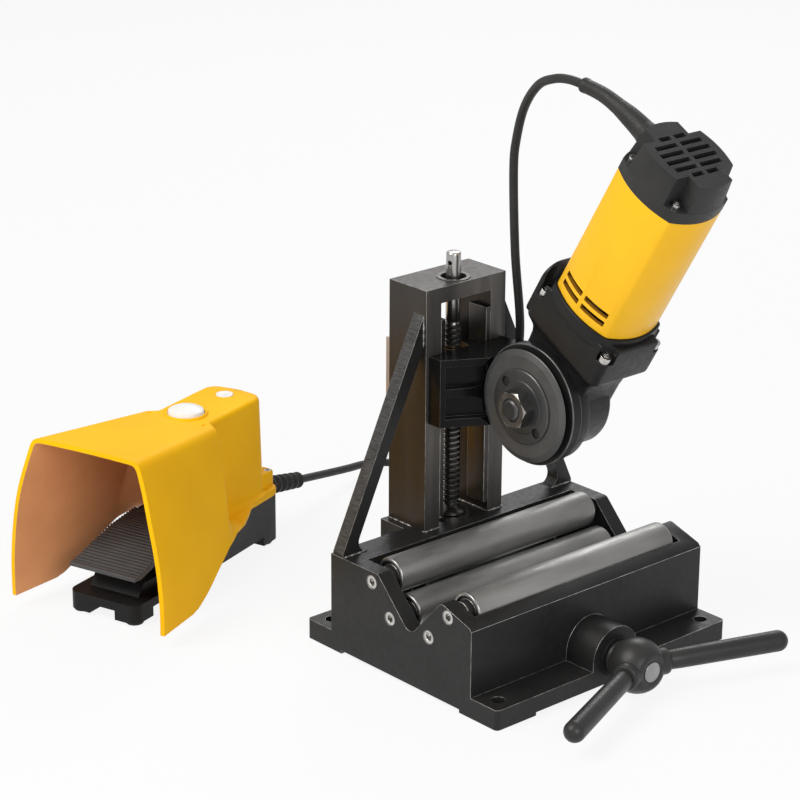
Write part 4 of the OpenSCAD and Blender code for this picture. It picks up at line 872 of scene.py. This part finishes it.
def hollow(o, s):  # the gear's chamber and the drive's bore, as in part.scad, are cut out of the piece
    # the cut faces of chamber and bore take the dark painted shade
    return cut(o, turned("tool", s["chamber"], cutter["centre"], alongX, ["innerDark"], 96),
               turned("tool", s["bore"], toDrive((0, 0, 0)), driveAxis, ["innerDark"], 96))


def buildGear(s):
    barrel = turned("gearBarrel", s["barrel"], cutter["centre"], alongX, ["gearPaint"], 144)
    sides = zip(s["left"], s["right"], s["front"], s["behind"])
    boxes = np.array([roundedBox(*box, s["corner"], 8) for box in sides])
    n, m = boxes.shape[:2]
    level = np.broadcast_to(np.array(s["at"])[:, None, None], (n, m, 1))
    rings = toDrive(np.concatenate([boxes, level], 2)) * mm
    neck = tidyMesh(linkMesh("gearHousing", rings, tubeFaces(n, m), ["gearPaint", "castEdgeWearAndHighlight"]), 40)
    places = np.array(s["screws"])
    cut(neck, *[drill(s["pocketAt"], s["top"], s["pocket"], toDrive((x, y, 0)), driveAxis, "gearPaint")
                for x, y in places * s["pocketOut"]])
    hollow(neck, s)
    tidyMesh(neck, 40, outward=False)
    # the neck's rounded edges take the worn metal that is also a painted highlight
    addBevel(neck, s["edge"], 3, 40, 1)
    halfX, halfY = motor["halfX"] + s["rimOut"], motor["halfY"] + s["rimOut"]
    rim = bulgedOutline(dict(motor, halfX=halfX, halfY=halfY))
    rim = hollow(plate("gearRim", rim, *s["rimZ"], s["rimEdge"], ["gearPaint"], toDrive), s)
    back = np.vstack([arcOf(*arc) for arc in s["plateArcs"]])
    back = plate("gearPlate", back, *s["plateY"], s["plateEdge"], ["gearPaint"],
                 lambda p: toDrive(p[:, [0, 2, 1]]), 4)
    cut(back, *[drill(s["pocketAt"], s["top"], s["seat"], toDrive((x, y, 0)), driveAxis, "gearPaint")
                for x, y in places if y > 0])
    tidyMesh(back, 40, outward=False)
    pad = plate("gearPad", roundedBox(*s["pad"]), *s["padY"], s["padEdge"], ["gearPaint"],
                lambda p: p[:, [0, 2, 1]])
    hollow(pad, s)
    for o in (barrel, neck, rim, back, pad):
        settle(o, "carriage", slotOf["gear_housing"])
    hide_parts("gear_housing")


buildGear(gear)
print("gear housing built")

# Weld beads: a thin rod laid along each joint, whose radius swings in overlapping drops, drifts slowly and
# falls off at both ends.
welds = dict(
    radius=1.25, step=0.4, steady=0.62, drop=2.2, dropPart=0.3,
    drift=7.1, driftOver=9, driftShift=2.3, driftPart=0.18, endPart=0.35, endSlope=6,
    lines=[
        [(-46.3, 69.6, 91.5), (-29.4, 69.6, 91.5)], [(29.4, 69.6, 91.5), (46.3, 69.6, 91.5)],
        [(-46.8, 72.5, 91.5), (-46.8, 69.6, 91.5)], [(46.8, 69.6, 91.5), (46.8, 72.5, 91.5)],
        [(-46.8, 87, 91.5), (-46.8, 117.6, 91.5)], [(46.8, 87, 91.5), (46.8, 117.6, 91.5)],
        [(-46, 118.3, 91.5), (-30, 118.3, 91.5)], [(30, 118.3, 91.5), (46, 118.3, 91.5)],
        [(-28.9, 70, 91.5), (-28.9, 117.6, 91.5)], [(28.9, 70, 91.5), (28.9, 117.6, 91.5)],
        [(111, 72.7, 91.4), (137, 72.7, 91.4)], [(-137, 72.7, 91.4), (-111, 72.7, 91.4)],
        [(111, 86.2, 91.4), (137, 86.2, 91.4)], [(-137, 86.2, 91.4), (-111, 86.2, 91.4)],
        [(-46.9, 73, 263), (-46.9, 73, 290)], [(46.9, 73, 263), (46.9, 73, 290)]])
for i, (p0, p1) in enumerate(np.array(welds["lines"])):
    length = np.linalg.norm(p1 - p0)
    k = np.linspace(0, 1, max(12, int(length / welds["step"])))
    drop = np.abs(np.sin(np.pi * k * length / welds["drop"] + i)) ** 0.5
    drift = np.sin(welds["drift"] * k * length / welds["driftOver"] + welds["driftShift"] * i)
    taper = np.minimum(1, welds["endPart"] + welds["endSlope"] * np.minimum(k, 1 - k))
    wide = welds["steady"] + welds["dropPart"] * drop + welds["driftPart"] * drift
    wide = welds["radius"] * wide * taper
    bead = swept("weld%d" % (i + 1), p0 + (p1 - p0) * k[:, None], wide, ["weldBead"], 12, 60)
    settle(bead, "frame", "bright_steel")
print("welds laid:", len(welds["lines"]))

# Castings and other machined pieces are merged copies of the CAD nodes with rounded edges. Where a second
# finish is given the edges take it: metal that is lightly worn and also a painted highlight on the
# castings, column, guide strips and gear housing, and a painted highlight on the glossy carriage and gear
# cover.
castings = {
    "baseCasting": dict(node="base_casting", mats=["castPaint", "castEdgeWearAndHighlight"], edge=1.1, segments=3),
    "leftBrace": dict(node="left_brace", mats=["castPaint", "castEdgeWearAndHighlight", "sawnEdge"], edge=0.7),
    "rightBrace": dict(node="right_brace", mats=["castPaint", "castEdgeWearAndHighlight", "sawnEdge"], edge=0.7),
    "column": dict(node="column", mats=["columnSteel", "castEdgeWearAndHighlight", "columnFront"], edge=0.9),
    "guideStrips": dict(node="guide_strips", mats=["guideSteel", "castEdgeWearAndHighlight"], edge=0.5),
    "rearGuidePlate": dict(node="rear_guide_plate", mats=["plateSteel"], edge=0.8),
    "carriage": dict(node="carriage_casting", mats=["carriagePaint", "glossEdgePaintedHighlight"], edge=2.2, segments=4),
    "gearCover": dict(node="gear_cover", mats=["gearPaint", "glossEdgePaintedHighlight"], edge=0.9, segments=3),
    "motorCap": dict(node="motor_cap", mats=["blackPlastic"], edge=0.9, segments=3),
    "switchBase": dict(node="switch_base", mats=["basePlastic"], edge=1.6, segments=3),
    "pedalPlate": dict(node="pedal", mats=["pedalPlastic"], edge=0.35),
    "switchFeet": dict(node="switch_feet", mats=["blackRubber"], edge=0.8),
    "rollerAxles": dict(node="roller_axles", mats=["brightSteel"], edge=0.6),
    "motorScrews": dict(node="motor_screws", mats=["brightSteel"], edge=0.4),
    "capScrews": dict(node="cap_screws", mats=["brightSteel"], edge=0.3),
    "guideScrews": dict(node="guide_screws", mats=["brightSteel"], edge=0.4),
    "hoodScrews": dict(node="hood_screws", mats=["brightSteel"], edge=0.3),
    # the roller bushes are in the dark painted shade, their rounded edges in bright steel
    "rollerBushes": dict(node="roller_bushes", mats=["innerDark", "brightEdge"], edge=0.5),
    "topBush": dict(node="spindle_top_bush", mats=["nutSteel"], edge=0.5),
    "feedShaft": dict(node="feed_shaft", mats=["innerSteel"], edge=0.6),
}
for name, s in castings.items():
    o = cadCopy(name, **s)
    settle(o, bodyOf[s["node"]], slotOf[s["node"]], s["node"])
    if len(s["mats"]) > 2:  # the sloping edge of a brace is a rough cut, and the column's front is brushed
        normals = np.zeros(len(o.data.polygons) * 3)
        o.data.polygons.foreach_get("normal", normals)
        nx, ny, nz = normals.reshape(-1, 3).T
        other = ny < -0.5 if name == "column" else (nz > 0.2) & (np.abs(nx) > 0.5)
        o.data.polygons.foreach_set("material_index", np.where(other, 2, 0).astype(np.int32))
print("castings dressed:", len(castings))

# The pedal's spring is a copy of the CAD coil with a mesh of its own; the real coil shortens as the pedal
# goes down.
coil = cadCopy("pedalSpring", "pedal_spring", ["brightSteel"])
settle(coil, "frame", slotOf["pedal_spring"], "pedal_spring")
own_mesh(coil)
print("pedal spring built")

# Pieces inside the machine keep their CAD meshes and get a finish.
plainNodes = dict(
    column_bolts="brightSteel", spindle_thrust_bush="threadSteel", spindle_gear="innerSteel",
    feed_bushes="castPaint", feed_gear="innerSteel", spindle_nut="bronze", stator="motorCore",
    armature="motorCore", drive_bearings="innerSteel", reduction_gear="innerSteel",
    planet_carrier="innerSteel", bevel_pinion="innerSteel", bevel_wheel="innerSteel",
    pedal_pin="brightSteel", switch_block="blackPlastic")
for node, name in plainNodes.items():
    o = frame["nodes"][node]
    o.data.materials.clear()
    o.data.materials.append(finish[name])
print("inner pieces finished:", len(plainNodes))
